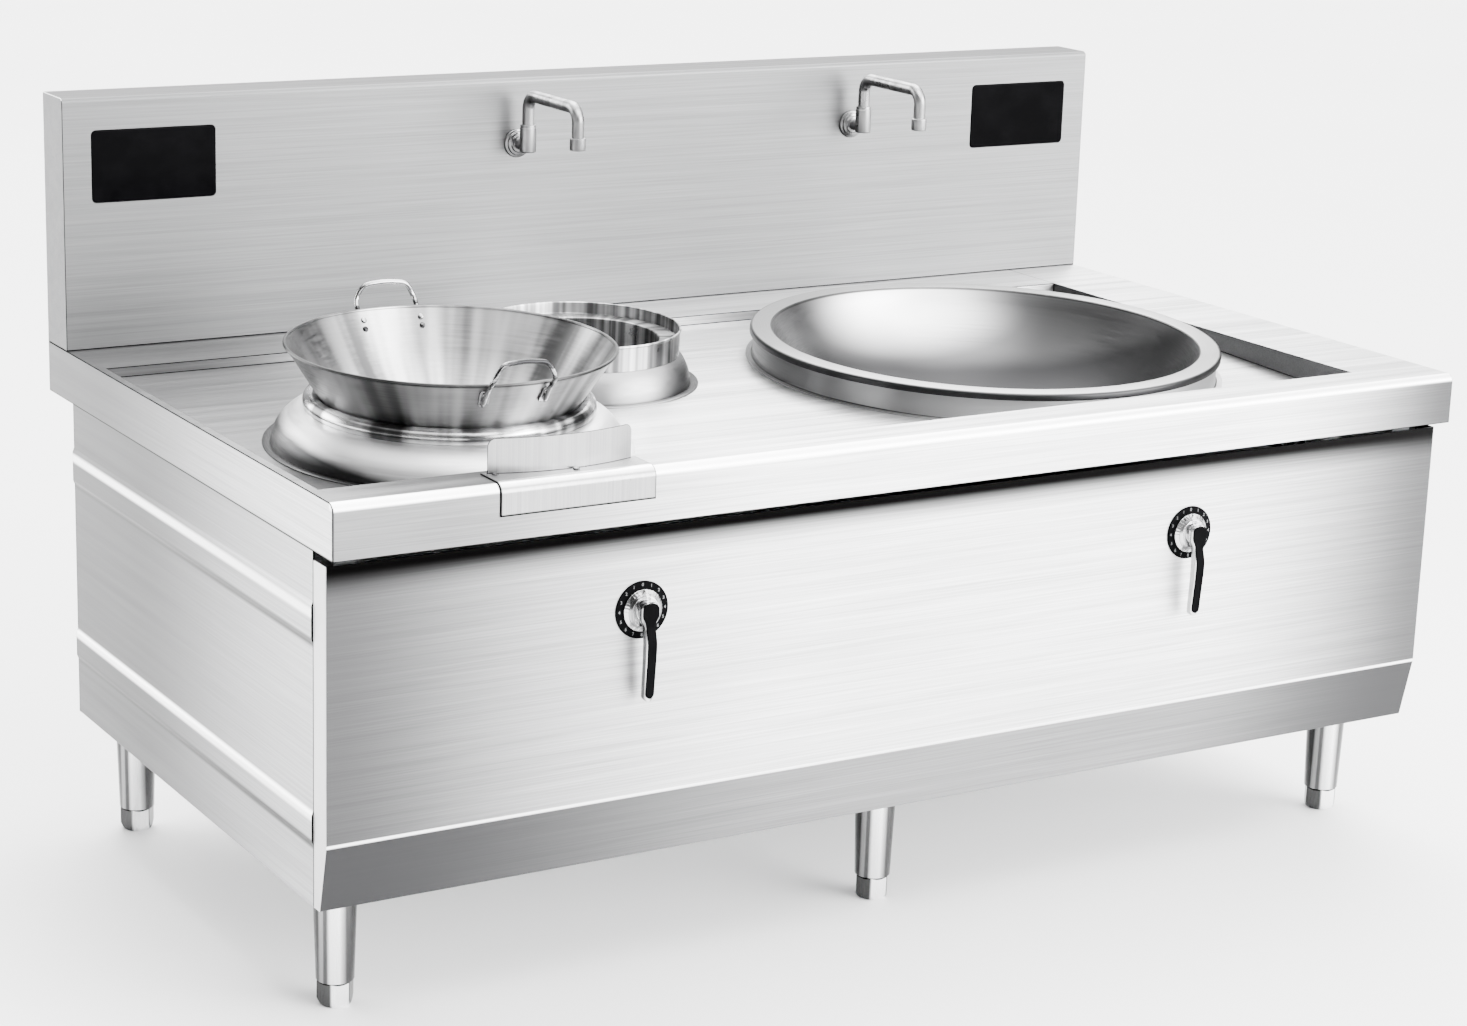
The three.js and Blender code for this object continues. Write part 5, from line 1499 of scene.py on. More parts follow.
@dataclass(frozen=True)
class LooseWok:
    """Wok that lifts off: a round bottom, a straight cone, a wired rim and two riveted handles."""

    rim: float = 0.244
    rim_high: float = 0.150
    cone: float = 0.208
    cone_high: float = 0.094
    wall: float = 0.0018
    wire: float = 0.0026
    span: float = 0.094
    rod: float = 0.00375
    rise: float = 0.040
    lean: float = 0.017
    pad: tuple[float, float, float] = (0.015, 0.030, 0.003)
    pitch: float = 0.014
    pad_corner: float = 0.005
    pad_edge: float = 0.0007
    rivet: float = 0.0045
    foot_drop: float = 0.024
    sunk: tuple = ((0.012, -0.0012), (-0.016, -0.0004))
    rod_steps: int = 90
    blunt: tuple[float, float] = (0.6, 3.0)
    turn: float = -3.0
    pad_gap: float = 0.00045
    knots: tuple = ((-0.98, -0.022), (-0.72, -0.004), (-0.3, 0), (0.3, 0), (0.72, -0.004),
                    (0.98, -0.022))
    head: float = 0.00175

    @property
    def slope(self) -> float:
        """Angle of the cone's wall over the worktop."""
        return math.atan2(self.rim_high - self.cone_high, self.rim - self.cone)

    def build(self) -> None:
        """Makes and dresses the wok and its handles."""
        radius = self.cone / math.sin(self.slope)
        centre = self.cone_high + radius * math.cos(self.slope)
        turn = math.degrees(self.slope)
        outer = arc((0, centre), radius, -90, -90 + turn, 40)
        inner = arc((0, centre), radius - self.wall, -90 + turn, -90, 40)
        bead = arc((self.rim - 0.0005, self.rim_high), self.wire, -113, 205, 24)
        line = on_axis(np.concatenate([outer, bead, inner]))
        fit_out(turned("loose_wok_shell", line, WOK_AT.place, 180, closed=False), WOK_STEEL,
                "loose_wok", ("small_wok",))
        for name, side in (("front", -1), ("back", 1)):
            fit_out(self.handle(f"wok_{name}_handle", side), HANDLE_STEEL, "loose_wok",
                    (f"wok_handle_{name}",))

    def beside(self, local: Array) -> Array:
        """Turns handle points about the wok's axis, then carries them to the world."""
        c, s = math.cos(math.radians(self.turn)), math.sin(math.radians(self.turn))
        return WOK_AT.place(local @ np.array([[c, s, 0], [-s, c, 0], [0, 0, 1]]))

    def wall_point(self, side: int, across: float, drop: float) -> tuple[Array, Array]:
        """Point on the outer wall below the rim, and the wall's outward normal there.

        Args:
            side: -1 for the front handle, 1 for the back one.
            across: Distance to the right of the handle's middle.
            drop: Distance down the wall from the rim.

        Returns:
            The point and the normal.
        """
        r = self.rim - drop * math.cos(self.slope)
        h = self.rim_high - drop * math.sin(self.slope)
        flat = np.array([across, side * math.sqrt(r * r - across * across), 0.0])
        out = flat / r * math.sin(self.slope)
        return flat + [0, 0, h], out - [0, 0, math.cos(self.slope)]

    def handle(self, name: str, side: int) -> bpy.types.Object:
        """Loop handle: a rod threaded through its knots, two pads and four rivets.

        Each of the rod's feet has knots at the drops and lifts that sunk adds. Its ends are
        blunt: the first steps' radii grow as the root of their number.

        Args:
            name: Object name.
            side: -1 for the front handle, 1 for the back one.

        Returns:
            The handle.
        """
        clear = self.pad_gap + self.pad[2]
        half, top = self.span / 2, self.rim_high + self.rise - self.rod
        reach = side * (self.rim + self.lean)

        def rod_at(end: int, drop: float, lift: float) -> Array:
            """Knot beside the wall at one end, a drop below the rim and a lift off the wall."""
            at, normal = self.wall_point(side, end * half, drop)
            return at + normal * lift

        feet = [[rod_at(end, self.foot_drop + along, clear + self.rod + lift)
                 for along, lift in self.sunk] for end in (-1, 1)]
        crown = [np.array([share * half, reach, top + drop]) for share, drop in self.knots]
        path = threaded(feet[0] + crown + feet[1][::-1], self.rod_steps)
        step = np.arange(self.rod_steps)
        tip, over = self.blunt
        thick = self.rod * np.sqrt(np.clip((np.minimum(step, step[::-1]) + tip) / over, 0, 1))
        parts = [surface("rod", self.beside(capped(swept_grid(path, thick, (0, side, 0.35), 20))))]
        for end in (-1, 1):
            at, normal = self.wall_point(side, end * half, self.foot_drop)
            up = np.array([*(at[:2] / np.linalg.norm(at[:2]) * math.cos(self.slope)),
                           math.sin(self.slope)])
            across = np.cross(up, normal)
            frame_of = on_frame(at, across, up, normal, self.beside)
            parts.append(surface("pad", frame_of(slab_grid(
                box_outline(*self.pad[:2], self.pad_corner), self.pad_gap, clear,
                self.pad_edge))))
            for way in (-1, 1):
                drop = self.foot_drop + way * self.pitch / 2
                spot, out = self.wall_point(side, end * half, drop)
                place = on_frame(spot, across, np.cross(out, across), out, self.beside)
                parts.append(turned("rivet", self.rivet_line(clear), place, 24, closed=False))
        return welded(name, parts)

    def rivet_line(self, clear: float) -> Array:
        """Section of a rivet: a domed head inside the wok, the shank, a domed head on the pad.

        Args:
            clear: Height of the pad's face over the wok's wall.

        Returns:
            Pairs of a radius and a height, from axis to axis.
        """
        low, high, a = -self.wall - 0.0009, clear - 0.0002, np.linspace(0, math.pi / 2, 7)
        inside = np.stack([self.rivet * np.sin(a), low - self.head * np.cos(a)], -1)
        outside = np.stack([self.rivet * np.cos(a), high + self.head * np.sin(a)], -1)
        return np.concatenate([inside, [(0.0025, low + 0.0001), (0.0025, high)], outside])


@dataclass(frozen=True)
class WokStand:
    """Domed collar, polished roll, glass-ceramic bowl and winding under the loose wok."""

    flange: float = 0.275
    foot: float = 0.263
    curve: tuple = ((0.0, 1.5), (2.0, 14.0), (8.0, 28.0), (20.0, 42.0), (36.0, 52.2))
    wall: float = 0.0015
    thinner: float = 0.35
    roll: float = 0.0135
    roll_high: float = 0.064
    seat_angle: float = 40.0
    shelf: float = 0.044
    shelf_in: float = 0.1775
    bowl: float = 0.2473
    bowl_centre: float = 0.2277

    @property
    def roll_centre(self) -> float:
        """Radius of the roll's middle line, tangent to the wok one clearance away."""
        away = self.bowl + self.roll + HAIR
        return math.sqrt(away ** 2 - (self.bowl_centre - self.roll_high) ** 2)

    def build(self) -> None:
        """Makes and dresses the stand."""
        place, r = WOK_AT.place, self.roll_centre
        angle = math.radians(self.seat_angle)
        seat = r + (self.roll + HAIR) * math.cos(angle)
        top = self.roll_high - (self.roll + HAIR) * math.sin(angle)
        edge, outside = flange_section(self.flange, self.foot, self.curve, [(seat, top)], 36)
        inside = (outside - [self.wall, self.wall * self.thinner])[:-2][::-1]
        within, over = seat - self.wall, self.shelf + self.wall
        line = np.concatenate([
            edge, outside,
            [(within, top - 0.0018), (within, over), (self.shelf_in, over),
             (self.shelf_in, self.shelf), (seat, self.shelf), (seat, top - 0.0022)],
            inside, [(self.foot - self.wall, HAIR)]])
        fit_out(turned("wok_dome_collar", line, place, 200), COLLAR_STEEL,
                stands_for=("dome_collar",))
        roll = arc((r, self.roll_high), self.roll, 0, 360, 48)[:-1]
        fit_out(turned("wok_rest_roll", roll, place, 200), ROLL_STEEL, stands_for=("rest_ring",))
        fit_out(turned("ceramic_bowl_shell", self.ceramic(), place, 160, closed=False), CERAMIC,
                stands_for=("ceramic_bowl",))
        dress_node("wok_coil", Wound("wok winding", "coil_winding", WOK_AT))

    def ceramic(self, gap: float = 0.004, wall: float = 0.006, lip: float = 0.009) -> Array:
        """Section of the bowl: two arcs about the wok's centre, joined by a flat rounded lip.

        Args:
            gap: Air under the wok.
            wall: Thickness of the bowl.
            lip: Width of the flat lip.

        Returns:
            Points from axis to axis.
        """
        inner, outer = self.bowl + gap, self.bowl + gap + wall
        low = self.shelf + self.wall + HAIR
        high = low + wall
        a_in = math.degrees(math.acos((self.bowl_centre - high) / inner))
        a_out = math.degrees(math.acos((self.bowl_centre - low) / outer))
        reach = inner * math.sin(math.radians(a_in)) + lip
        edge = rounded([(reach - 0.004, high), (reach, high), (reach, low), (reach - 0.004, low)],
                       0.0025, 4, closed=False)
        return on_axis(np.concatenate([
            arc((0, self.bowl_centre), inner, -90, -90 + a_in, 30), edge,
            arc((0, self.bowl_centre), outer, -90 + a_out, -90, 30)]))


@dataclass(frozen=True)
class TailStation:
    """Low domed foot with an open polished ring, a shelf and a deep well."""

    flange: float = 0.190
    foot: float = 0.177
    curve: tuple = ((0.0, 1.5), (1.5, 14.0), (6.0, 28.0), (13.0, 41.0), (19.5, 48.5))
    ring: float = 0.1575
    top: float = 0.090
    wall: float = 0.002
    bead: float = 0.002
    shelf: float = 0.068
    shelf_reach: float = 0.026
    neighbour: float = 0.276
    well: float = 0.125
    deep: float = 0.165
    seat: float = 0.0489
    seat_in: float = 0.012
    flange_high: float = 0.005
    sheet: float = 0.0015

    def build(self) -> None:
        """Makes and dresses the station."""
        fit_out(surface("tail_dome_shell", TAIL_AT.place(self.dome_grid()), wrap_rows=True),
                DOME_STEEL, stands_for=("tail_dome",))
        r, w = self.ring, self.wall
        inner, low, bead, sheet = r - w, self.seat + HAIR, self.bead, self.sheet
        curl = arc((r, self.top - bead), bead, -60, 150, 14)
        line = np.concatenate([
            [(r, low), (r, self.top - 2.2 * bead)], curl,
            rounded([(inner, self.top - bead), (inner, self.shelf + w),
                     (r - self.shelf_reach, self.shelf),
                     (r - self.shelf_reach, self.shelf - sheet), (inner, self.shelf - sheet),
                     (inner, low)],
                    [0, 0.003, 0.0004, 0.0004, 0.001, 0], 4, closed=False)])
        fit_out(turned("tail_ring_band", line, TAIL_AT.place, 180), TAIL_STEEL,
                stands_for=("tail_ring",))
        lip = self.shelf + w + HAIR
        bottom = lip - self.deep
        reach = r - w - 0.004
        outer = rounded([(0, bottom), (self.well, bottom), (self.well, lip), (reach, lip)],
                        [0, 0.020, 0.0006, 0], 8, closed=False)
        inside = rounded([(reach, lip + sheet), (self.well - sheet, lip + sheet),
                          (self.well - sheet, bottom + sheet), (0, bottom + sheet)],
                         [0, 0.003, 0.0185, 0], 8, closed=False)
        fit_out(turned("tail_well_pot", np.concatenate([outer, inside]), TAIL_AT.place, 144,
                       closed=False), WELL_STEEL, stands_for=("tail_well",))

    def dome_grid(self) -> Array:
        """Points of the dome, trimmed beside the wok's flange.

        The section is turned, then each flange point nearer than the neighbour's radius to the
        neighbour's axis moves straight out from that axis onto the radius.

        Returns:
            Grid of points in the station's own frame.
        """
        seat = self.ring - self.seat_in
        edge, outside = flange_section(self.flange, self.foot, self.curve, [], 26)
        line = np.concatenate([
            edge, outside, [(seat, self.seat), (seat, self.seat - self.sheet)],
            (outside - [self.sheet, 0.0005])[::-1], [(self.foot - self.sheet, HAIR)]])
        grid = turned_grid(line, 240)
        away = np.array([WOK_AT.x - TAIL_AT.x, (WOK_AT.y - TAIL_AT.y) / math.cos(FALL)])
        from_axis = grid[..., :2] - away
        far = np.linalg.norm(from_axis, axis=-1, keepdims=True)
        pushed = away + from_axis / far * np.maximum(far, self.neighbour)
        low = grid[..., 2:] < self.flange_high
        grid[..., :2] = np.where(low, pushed, grid[..., :2])
        return grid


@dataclass(frozen=True)
class LargeWok:
    """Fixed large wok with a flat rolled rim, its skirt and its winding."""

    flange: float = 0.397
    skirt: float = 0.386
    rim: float = 0.392
    mouth: float = 0.356
    top: float = 0.050
    edge: float = 0.011
    depth: float = 0.215
    wall: float = 0.0025

    def build(self) -> None:
        """Makes and dresses the wok and its skirt."""
        radius = (self.mouth ** 2 + self.depth ** 2) / (2 * self.depth)
        centre = self.top - self.depth + radius
        at_mouth = math.degrees(math.asin(self.mouth / radius))
        under = self.top - self.wall
        a_under = math.degrees(math.acos((centre - under) / (radius + self.wall)))
        bowl = arc((0, centre), radius, -90, -90 + at_mouth, 60)
        outer = arc((0, centre), radius + self.wall, -90 + a_under, -90, 60)
        lip = rounded([bowl[-4], (self.mouth, self.top), (self.rim, self.top),
                       (self.rim, self.top - self.edge),
                       (self.rim - self.wall, self.top - self.edge),
                       (self.rim - self.wall, under), (self.rim - 0.02, under)],
                      [0, 0.006, 0.004, 0.0008, 0.0008, 0.0015, 0], 6, closed=False)
        line = on_axis(np.concatenate([bowl[:-4], lip, outer]))
        fit_out(turned("large_wok_shell", line, BIG_AT.place, 240, closed=False), BIG_STEEL,
                stands_for=("big_wok",))
        high, inner = under - HAIR, self.skirt - 0.002
        wall = rounded([(self.flange, HAIR), (self.flange, FLANGE), (self.skirt, FLANGE),
                        (self.skirt, high), (inner, high), (inner, HAIR)],
                       [0.0004, 0.0004, 0.003, 0.0005, 0.0005, 0.0004], 4)
        fit_out(turned("large_wok_skirt", wall, BIG_AT.place, 240), SKIRT_STEEL,
                stands_for=("big_wok_skirt",))
        dress_node("big_wok_coil", Wound("large winding", "coil_winding", BIG_AT))


# ------------------------------------------------------------------ fittings


@dataclass(frozen=True)
class WorktopFittings:
    """Drain in the recess and the guard hooked over the front rim."""

    def build(self) -> None:
        """Makes and dresses both."""
        fit_out(refined("drain_strainer", "drain_cup", 0.0005), DRAIN_STEEL,
                stands_for=("drain_strainer",))
        fit_out(refined("toss_guard", "guard_plate", 0.0007, 2, 30.0, lined=True), GUARD_SHEET,
                stands_for=("toss_guard",), trim=SEAM_AND_EDGE_SHADE)


@dataclass(frozen=True)
class Faucet:
    """Wall tap: stepped flange, upright body and a swivelling spout with an end sleeve."""

    side: str
    x: float
    z: float = 1.0844
    wall: float = 1.0317
    axis: float = 0.992
    flange: float = 0.0243
    body: float = 0.014
    stub: float = 0.0095
    below: float = 0.010
    above: float = 0.037
    stem: float = 0.006
    pipe: float = 0.0102
    top: float = 1.171
    reach: float = 0.176
    bends: tuple[float, float] = (0.025, 0.044)
    sleeve: float = 0.0132
    outlet: float = 1.103
    sleeve_high: float = 0.020
    sleeve_deep: float = 0.010
    socket: float = 0.020

    def build(self) -> None:
        """Makes and dresses the body and the spout."""
        on_wall = facing_front(self.x, self.wall, self.z)
        upright = shifted(self.x, self.axis, 0.0)
        stand = self.wall - self.axis
        f = self.flange
        rose = rounded([(0, 0), (f, 0), (f, 0.0035), (f - 0.004, 0.0042), (f - 0.0045, 0.0075),
                        (f - 0.009, 0.0082), (f - 0.010, 0.0105), (self.stub, 0.0108),
                        (self.stub, stand), (0, stand)],
                       [0, 0.0004, 0.0012, 0.001, 0.001, 0.0008, 0.001, 0.001, 0, 0], 4,
                       closed=False)
        low, high = self.z - self.below, self.z + self.above
        neck, bore, floor = self.body - 0.0009, self.stem + 0.0004, high - self.socket
        tube = rounded([(0, low), (self.body, low), (self.body, high - 0.006),
                        (neck, high - 0.0052), (neck, high), (bore, high), (bore, floor),
                        (0, floor)],
                       [0, 0.0022, 0.0004, 0.0004, 0.0012, 0.0003, 0, 0], 4, closed=False)
        tail = rounded([(0, -0.0340), (0.008, -0.0340), (0.008, -0.0125), (0.0165, -0.0120),
                        (0.0165, -0.0026), (0.008, -0.0022), (0.008, 0.001), (0, 0.001)],
                       [0, 0.001, 0, 0.001, 0.001, 0, 0, 0], 3, closed=False)
        parts = [turned("rose", rose, on_wall, 64, closed=False),
                 turned("tube", tube, upright, 48, closed=False),
                 turned("tail", tail, on_wall, 32, closed=False)]
        fit_out(welded(f"{self.side}_tap_body", parts, 30.0), CHROME,
                stands_for=(f"{self.side}_faucet_body",))
        fit_out(self.spout(upright, high + HAIR), CHROME, f"{self.side}_spout_body",
                (f"{self.side}_spout",))

    def spout(self, upright: Placing, seat: float) -> bpy.types.Object:
        """Pipe along a rounded line, its stem and its end sleeve.

        Args:
            upright: Carries the tap's own points to the world.
            seat: Height where the pipe starts.

        Returns:
            The spout.
        """
        corners = [(0, 0, seat), (0, 0, self.top), (0, -self.reach, self.top),
                   (0, -self.reach, self.outlet + self.sleeve_high - 0.002)]
        bent = rounded(corners, [0, *self.bends, 0], 22, closed=False)
        start = np.linspace(bent[0], bent[1], 4)[:-1]
        pipe = capped(swept_grid(np.concatenate([start, bent[1:]]), self.pipe, (1, 0, 0), 36))
        s, low, high = self.sleeve, self.outlet, self.outlet + self.sleeve_high
        deep, mouth, inside = low + self.sleeve_deep, s - 0.0025, self.pipe - 0.0005
        end = rounded([(mouth, deep), (mouth, low), (s, low), (s, high), (inside, high + 0.0006),
                       (inside, low + 0.012), (0, deep)],
                      [0, 0.0006, 0.0010, 0.0014, 0, 0, 0], 4, closed=False)
        end = np.concatenate([[(0.0, deep)], end])
        at_end = shifted(self.x, self.axis - self.reach, 0.0)
        foot, head = seat - self.socket, seat + 0.002
        stem = np.array([(0, foot), (self.stem, foot), (self.stem, head), (0, head)])
        parts = [surface("pipe", upright(pipe)), turned("stem", stem, upright, 32, closed=False),
                 turned("sleeve", end, at_end, 48, closed=False)]
        return welded(f"{self.side}_tap_spout", parts, 30.0)


@dataclass(frozen=True)
class LeverSwitch:
    """Turning lever with a ridged hub, its black inlay and a printed dial."""

    side: str
    x: float
    z: float = 0.5726
    dial: float = 0.043
    dial_back: float = 0.0297
    dial_thick: float = 0.002
    hub_back: float = 0.0274
    base: float = 0.0314
    nose: float = 0.022
    deep: float = 0.010
    neck: float = 0.014
    neck_deep: float = 0.003
    thick: float = 0.0115
    inlay: float = 0.0026
    inlay_in: float = 0.001
    boss: tuple[float, float, float] = (0.014, 0.017, 0.0095)
    shank: float = 0.0083
    tip: float = 0.008
    end: float = -0.131
    boss_foot: tuple[float, float] = (-0.021, -0.007)
    join: float = -0.035
    slimmer: tuple[float, float] = (-0.090, -0.050)
    bend: float = 0.006
    bend_at: tuple[float, float] = (0.015, 0.044)
    unbend: float = 0.9
    unbend_at: tuple[float, float] = (0.046, 0.133)
    back_share: float = 0.6
    close_rows: float = 0.010
    marks: int = 16
    marks_at: float = 0.0375
    mark_high: float = 0.0068
    hole: float = 0.0062
    spindle: tuple[float, float] = (0.004, 0.034)
    ridges: int = 36
    ridge: float = 0.030
    pointer: tuple[float, float, float] = (0.0042, 0.0250, 0.0312)
    hub_columns: int = 144

    def build(self) -> None:
        """Makes and dresses the dial, the lever, its inlay and the switch behind it."""
        on_dial = facing_front(self.x, self.dial_back, self.z)
        disc = rounded([(self.hole, 0), (self.dial, 0), (self.dial, self.dial_thick),
                        (self.hole, self.dial_thick)], [0, 0.0002, 0.0009, 0], 3)
        fit_out(turned(f"{self.side}_dial_disc", disc, on_dial, 96), DEEP_BLACK,
                stands_for=(f"{self.side}_dial",))
        face = facing_front(self.x, self.dial_back - self.dial_thick, self.z)
        fit_out(self.scale(face), PRINT_GREY)
        body = f"{self.side}_lever_body"
        fit_out(self.lever(), LEVER_CHROME, body, (f"{self.side}_lever",))
        back = self.hub_back - self.deep - self.neck_deep - self.thick - HAIR
        inlay = self.bar(f"{self.side}_lever_inlay", self.inlay_in, 0.005, back, 1.0, self.inlay,
                         7.0)
        fit_out(inlay, DEEP_BLACK, body, (f"{self.side}_lever_grip",))
        dress_node(f"{self.side}_power_switch", BLACK_PLASTIC)

    def scale(self, place: Placing) -> bpy.types.Object:
        """Printed numbers: 0 at the top, rising both ways to 8 at the bottom.

        Args:
            place: Carries points of the dial's face to the world.

        Returns:
            The print.
        """
        parts = []
        for i in range(self.marks):
            a = 2 * math.pi * i / self.marks
            at = (self.marks_at * math.sin(a), self.marks_at * math.cos(a))
            text = str(min(i, self.marks - i))
            parts.append(numbered("number", text, self.mark_high, at, place))
        return welded(f"{self.side}_dial_print", parts, 30.0)

    def lever(self) -> bpy.types.Object:
        """Chrome lever: a conical hub with fine ridges, a pointer, a neck, the bar, the spindle.

        The hub is turned, then its flank's radius is multiplied by 1 - ridge (1 - cos(n a)) / 2.

        Returns:
            The lever.
        """
        place = facing_front(self.x, self.hub_back, self.z)
        step, top = self.nose + 0.004, self.deep + self.neck_deep + 0.001
        line = rounded([(0, 0), (self.base, 0), (self.base, 0.003), (step, self.deep * 0.62),
                        (step, self.deep * 0.72), (self.nose, self.deep), (self.neck, self.deep),
                        (self.neck, top), (0, top)],
                       [0, 0.0006, 0.001, 0.001, 0.001, 0.0016, 0.001, 0, 0], 4, closed=False)
        grid = turned_grid(line, self.hub_columns)
        a = round_angles(self.hub_columns)
        r, h = line.T
        flank = (np.clip((r - self.nose) / 0.003, 0, 1) * np.clip((h - 0.002) / 0.002, 0, 1)
                 * np.clip((self.deep * 0.75 - h) / 0.002, 0, 1))
        wave = 0.5 - 0.5 * np.cos(self.ridges * a)[None]
        grid[..., :2] *= (1 - self.ridge * flank[:, None] * wave)[..., None]
        thin, far = self.spindle
        spindle = np.array([(0, 0.001), (thin, 0.001), (thin, -far), (0, -far)])
        half, foot, tip = self.pointer
        pointer = np.array([(-half, foot), (half, foot), (0.0, tip)])
        parts = [surface("hub", place(grid)), turned("spindle", spindle, place, 32, closed=False),
                 surface("pointer", place(slab_grid(pointer, 0.0030, 0.0075, 0.0004, 2))),
                 self.bar("bar", 0.0, 0.0, self.hub_back - self.deep - self.neck_deep,
                          self.back_share, self.thick, 5.0)]
        return welded(f"{self.side}_lever_arm", parts, 30.0)

    def half_width(self, z: Array) -> Array:
        """Half width of the lever at heights above its spindle.

        A rounded boss eases into the shank, the shank into the slimmer round end.

        Args:
            z: Heights.

        Returns:
            Half widths.
        """
        wide, top, soft = self.boss
        bulge = soft ** 2 - np.clip(z - top + soft, 0, None) ** 2
        high = wide - soft + np.sqrt(np.clip(bulge, 0, None))
        middle = self.shank + (wide - self.shank) * eased(z, *self.boss_foot)
        low = self.tip + (self.shank - self.tip) * eased(z, *self.slimmer)
        foot = self.end + self.tip
        low *= np.sqrt(np.clip(1 - (np.clip(foot - z, 0, None) / self.tip) ** 2, 0, None))
        return np.where(z > self.boss_foot[1], high, np.where(z > self.join, middle, low))

    def bar(self, name: str, side_in: float, end_in: float, back: float, share: float,
            thick: float, square: float) -> bpy.types.Object:
        """Bar that follows the lever's half width and its forward bend.

        Row by row the section is the superellipse |x/w|^n + |y/t|^n = 1, a rectangle with soft
        edges. The front face comes forward by the whole bend and the back by a share of it;
        lower down unbend takes most of it back. The rows are close together at both ends.

        Args:
            name: Object name.
            side_in: How far the outline is drawn in at the sides.
            end_in: How far it is drawn in at the lower end.
            back: Its rear face behind the rim face, where it isn't bent.
            share: Share of the bend that the rear face follows.
            thick: Its thickness where it isn't bent.
            square: The superellipse's power.

        Returns:
            The bar.
        """
        top, low, close = self.boss[1] - side_in, self.end + end_in, self.close_rows
        turn = 0.5 - 0.5 * np.cos(np.linspace(0, math.pi, 24))
        z = np.concatenate([top - close * turn[:-1], np.linspace(top - close, low + close, 90)[:-1],
                            low + close * (1 - turn)])
        read = np.clip(z + np.where(z > 0, side_in, -end_in), self.end, self.boss[1])
        w = np.maximum(self.half_width(read) - side_in, HAIR)
        back_again = self.unbend * eased(-z, *self.unbend_at)
        forward = self.bend * eased(-z, *self.bend_at) * (1 - back_again)
        rear, front = back - share * forward, back - thick - forward
        a = round_angles(40)
        c, s = np.cos(a), np.sin(a)
        x = np.sign(c) * np.abs(c) ** (2 / square)
        y = np.sign(s) * np.abs(s) ** (2 / square)
        middle, half = (rear + front)[:, None] / 2, (rear - front)[:, None] / 2
        grid = np.stack([w[:, None] * x, middle + half * y, z[:, None] + 0 * x], -1)
        return surface(name, shifted(self.x, 0.0, self.z)(capped(grid)))


@dataclass(frozen=True)
class Inside:
    """Power units behind the panels and the cable gland."""

    def build(self) -> None:
        """Makes and dresses them."""
        for node in ("wok_inverter", "big_wok_inverter"):
            fit_out(refined(node, f"{node}_case", 0.0008), CAST_ALUMINIUM, stands_for=(node,))
        fit_out(refined("cable_gland", "cable_gland_nut"), BLACK_PLASTIC,
                stands_for=("cable_gland",))


# ------------------------------------------------------------------ studio


@dataclass(frozen=True)
class Lobe:
    """Soft light in the world round a direction."""

    azimuth: float
    height: float
    wide: float
    soft: float
    power: float


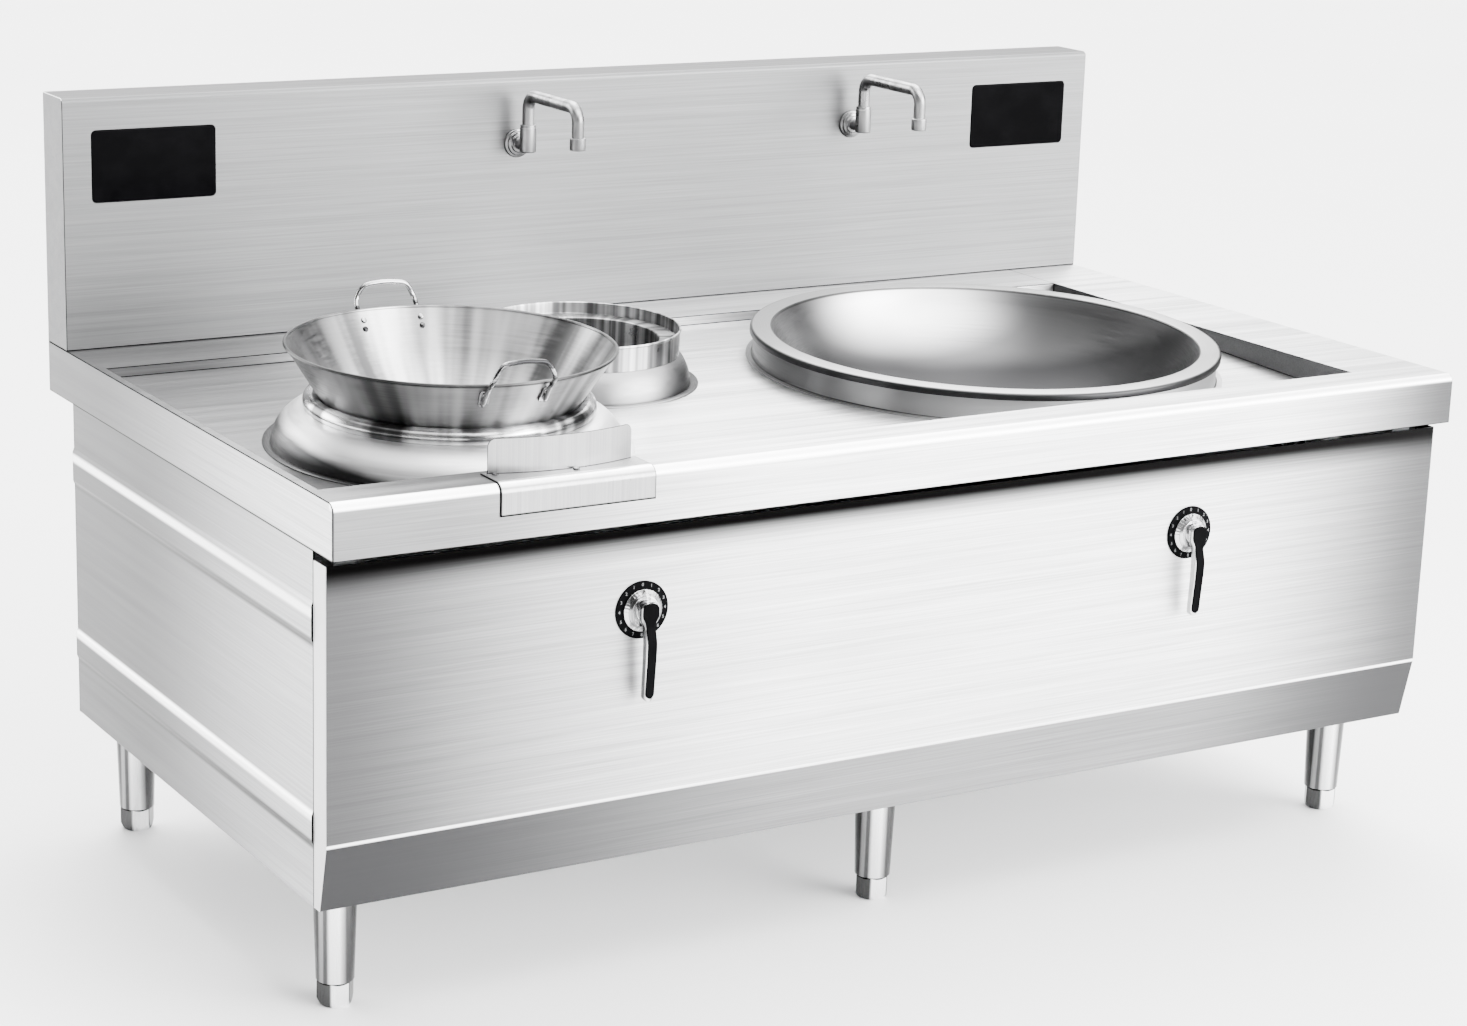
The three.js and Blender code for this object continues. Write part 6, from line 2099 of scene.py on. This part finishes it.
@dataclass(frozen=True)
class Studio:
    """Pale floor, a soft world with bright and dim lobes, and one large lamp overhead."""

    floor_size: float = 60.0
    floor_tones: tuple[Colour, Colour] = ((0.94, 0.94, 0.94), (0.97, 0.97, 0.97))
    base: float = 0.22
    lobes: tuple[Lobe, ...] = (
        Lobe(0.0, 90.0, 34.0, 20.0, 3.2),
        Lobe(150.0, 50.0, 24.0, 14.0, 16.0),
        Lobe(37.0, 8.0, 20.0, 17.0, 26.0),
        Lobe(-149.0, 6.0, 20.0, 14.0, 13.0),
        Lobe(75.0, 40.0, 16.0, 14.0, 5.0),
    )

    def build(self) -> None:
        """Builds the floor, the world and the lamp."""
        self.floor()
        self.world()
        self.lamp("overhead", (0.5, -2.0, 5.0), (0.1, 0.0, 0.7), 4.0, 360.0)

    def floor(self) -> None:
        """Large pale floor with a faint mottle."""
        half = self.floor_size / 2
        side = np.linspace(-half, half, 3)
        x, y = np.meshgrid(side, side, indexing="ij")
        plane = surface("floor", np.stack([x, y, 0 * x], -1), wrap_cols=False)
        g = Skin("pale floor")
        cloud = g.noise(g.object_place(), 0.8, 3.0)
        shade = g.blend(g.spread(cloud, 0.3, 0.7), *self.floor_tones)
        plane.data.materials.append(g.surface(shade, 0.6, metallic=0.0, gloss=0.2))

    def world(self) -> None:
        """World light: a base level plus smooth lobes of the angle to each direction."""
        world = bpy.data.worlds.new("studio")
        bpy.context.scene.world = world
        world.use_nodes = True
        g = Graph(world.node_tree)
        way = g.node("ShaderNodeTexCoord").outputs["Generated"]
        total: Socket = self.base
        for lobe in self.lobes:
            a, e = math.radians(lobe.azimuth), math.radians(lobe.height)
            aim = (math.sin(a) * math.cos(e), -math.cos(a) * math.cos(e), math.sin(e))
            near = g.node("ShaderNodeVectorMath", (way, aim), operation="DOT_PRODUCT")
            outer, inner = lobe.wide + lobe.soft, max(lobe.wide - lobe.soft, 1)
            light = g.spread(near.outputs["Value"], math.cos(math.radians(outer)),
                             math.cos(math.radians(inner)), 0.0, lobe.power, Ease.SOFTEST)
            total = g.calc("ADD", total, light)
        back = g.node("ShaderNodeBackground", {"Color": WHITE, "Strength": total})
        g.node("ShaderNodeOutputWorld", {"Surface": back.outputs["Background"]})

    def lamp(self, name: str, at: Sequence[float], aim: Sequence[float], size: float,
             watts: float) -> None:
        """Places a square soft lamp that faces a point.

        Args:
            name: Lamp name.
            at: Where it hangs.
            aim: What it faces.
            size: Edge of the square.
            watts: Its power.
        """
        light = bpy.data.lights.new(name, "AREA")
        light.shape, light.size, light.energy = "SQUARE", size, watts
        lamp = bpy.data.objects.new(name, light)
        bpy.context.scene.collection.objects.link(lamp)
        lamp.location = at
        lamp.rotation_euler = (Vector(aim) - Vector(at)).to_track_quat("-Z", "Y").to_euler()


@dataclass(frozen=True)
class ViewPoint:
    """Camera at the photograph's viewing angle."""

    at: tuple[float, float, float] = (-2.69305, -4.33985, 1.90477)
    yaw: float = 30.72
    down: float = 14.82
    roll: float = 1.67
    lens: float = 78.67
    shift: tuple[float, float] = (0.0287, -0.0112)
    sensor: float = 36.0

    def build(self) -> None:
        """Creates the camera and makes it the scene's."""
        yaw, down, roll = (math.radians(v) for v in (self.yaw, self.down, self.roll))
        flat = math.cos(down)
        ahead = Vector((math.sin(yaw) * flat, math.cos(yaw) * flat, -math.sin(down)))
        right = Vector((math.cos(yaw), -math.sin(yaw), 0.0))
        up = right.cross(ahead)
        side = math.cos(roll) * right + math.sin(roll) * up
        top = -math.sin(roll) * right + math.cos(roll) * up
        data = bpy.data.cameras.new("view")
        data.sensor_width, data.lens = self.sensor, self.lens
        data.shift_x, data.shift_y = self.shift
        data.clip_start, data.clip_end = 0.1, 200.0
        camera = bpy.data.objects.new("view", data)
        bpy.context.scene.collection.objects.link(camera)
        matrix = Matrix((side, top, -ahead)).transposed().to_4x4()
        matrix.translation = Vector(self.at)
        camera.matrix_world = matrix
        bpy.context.scene.camera = camera


def main() -> None:
    """Builds every sub-assembly in order."""
    ViewPoint().build()
    Studio().build()
    Cabinet().build()
    Backsplash().build()
    for row, y in (("front", 0.155), ("back", 0.9465)):
        for hand, x in (("left", -0.927), ("middle", 0.0), ("right", 0.927)):
            Leg(f"{row}_{hand}", x, y).build()
    WokStand().build()
    LooseWok().build()
    TailStation().build()
    LargeWok().build()
    WorktopFittings().build()
    Faucet("left", -0.1967).build()
    Faucet("right", 0.479).build()
    LeverSwitch("left", -0.505).build()
    LeverSwitch("right", 0.491).build()
    Inside().build()


if __name__ == "__main__":
    main()
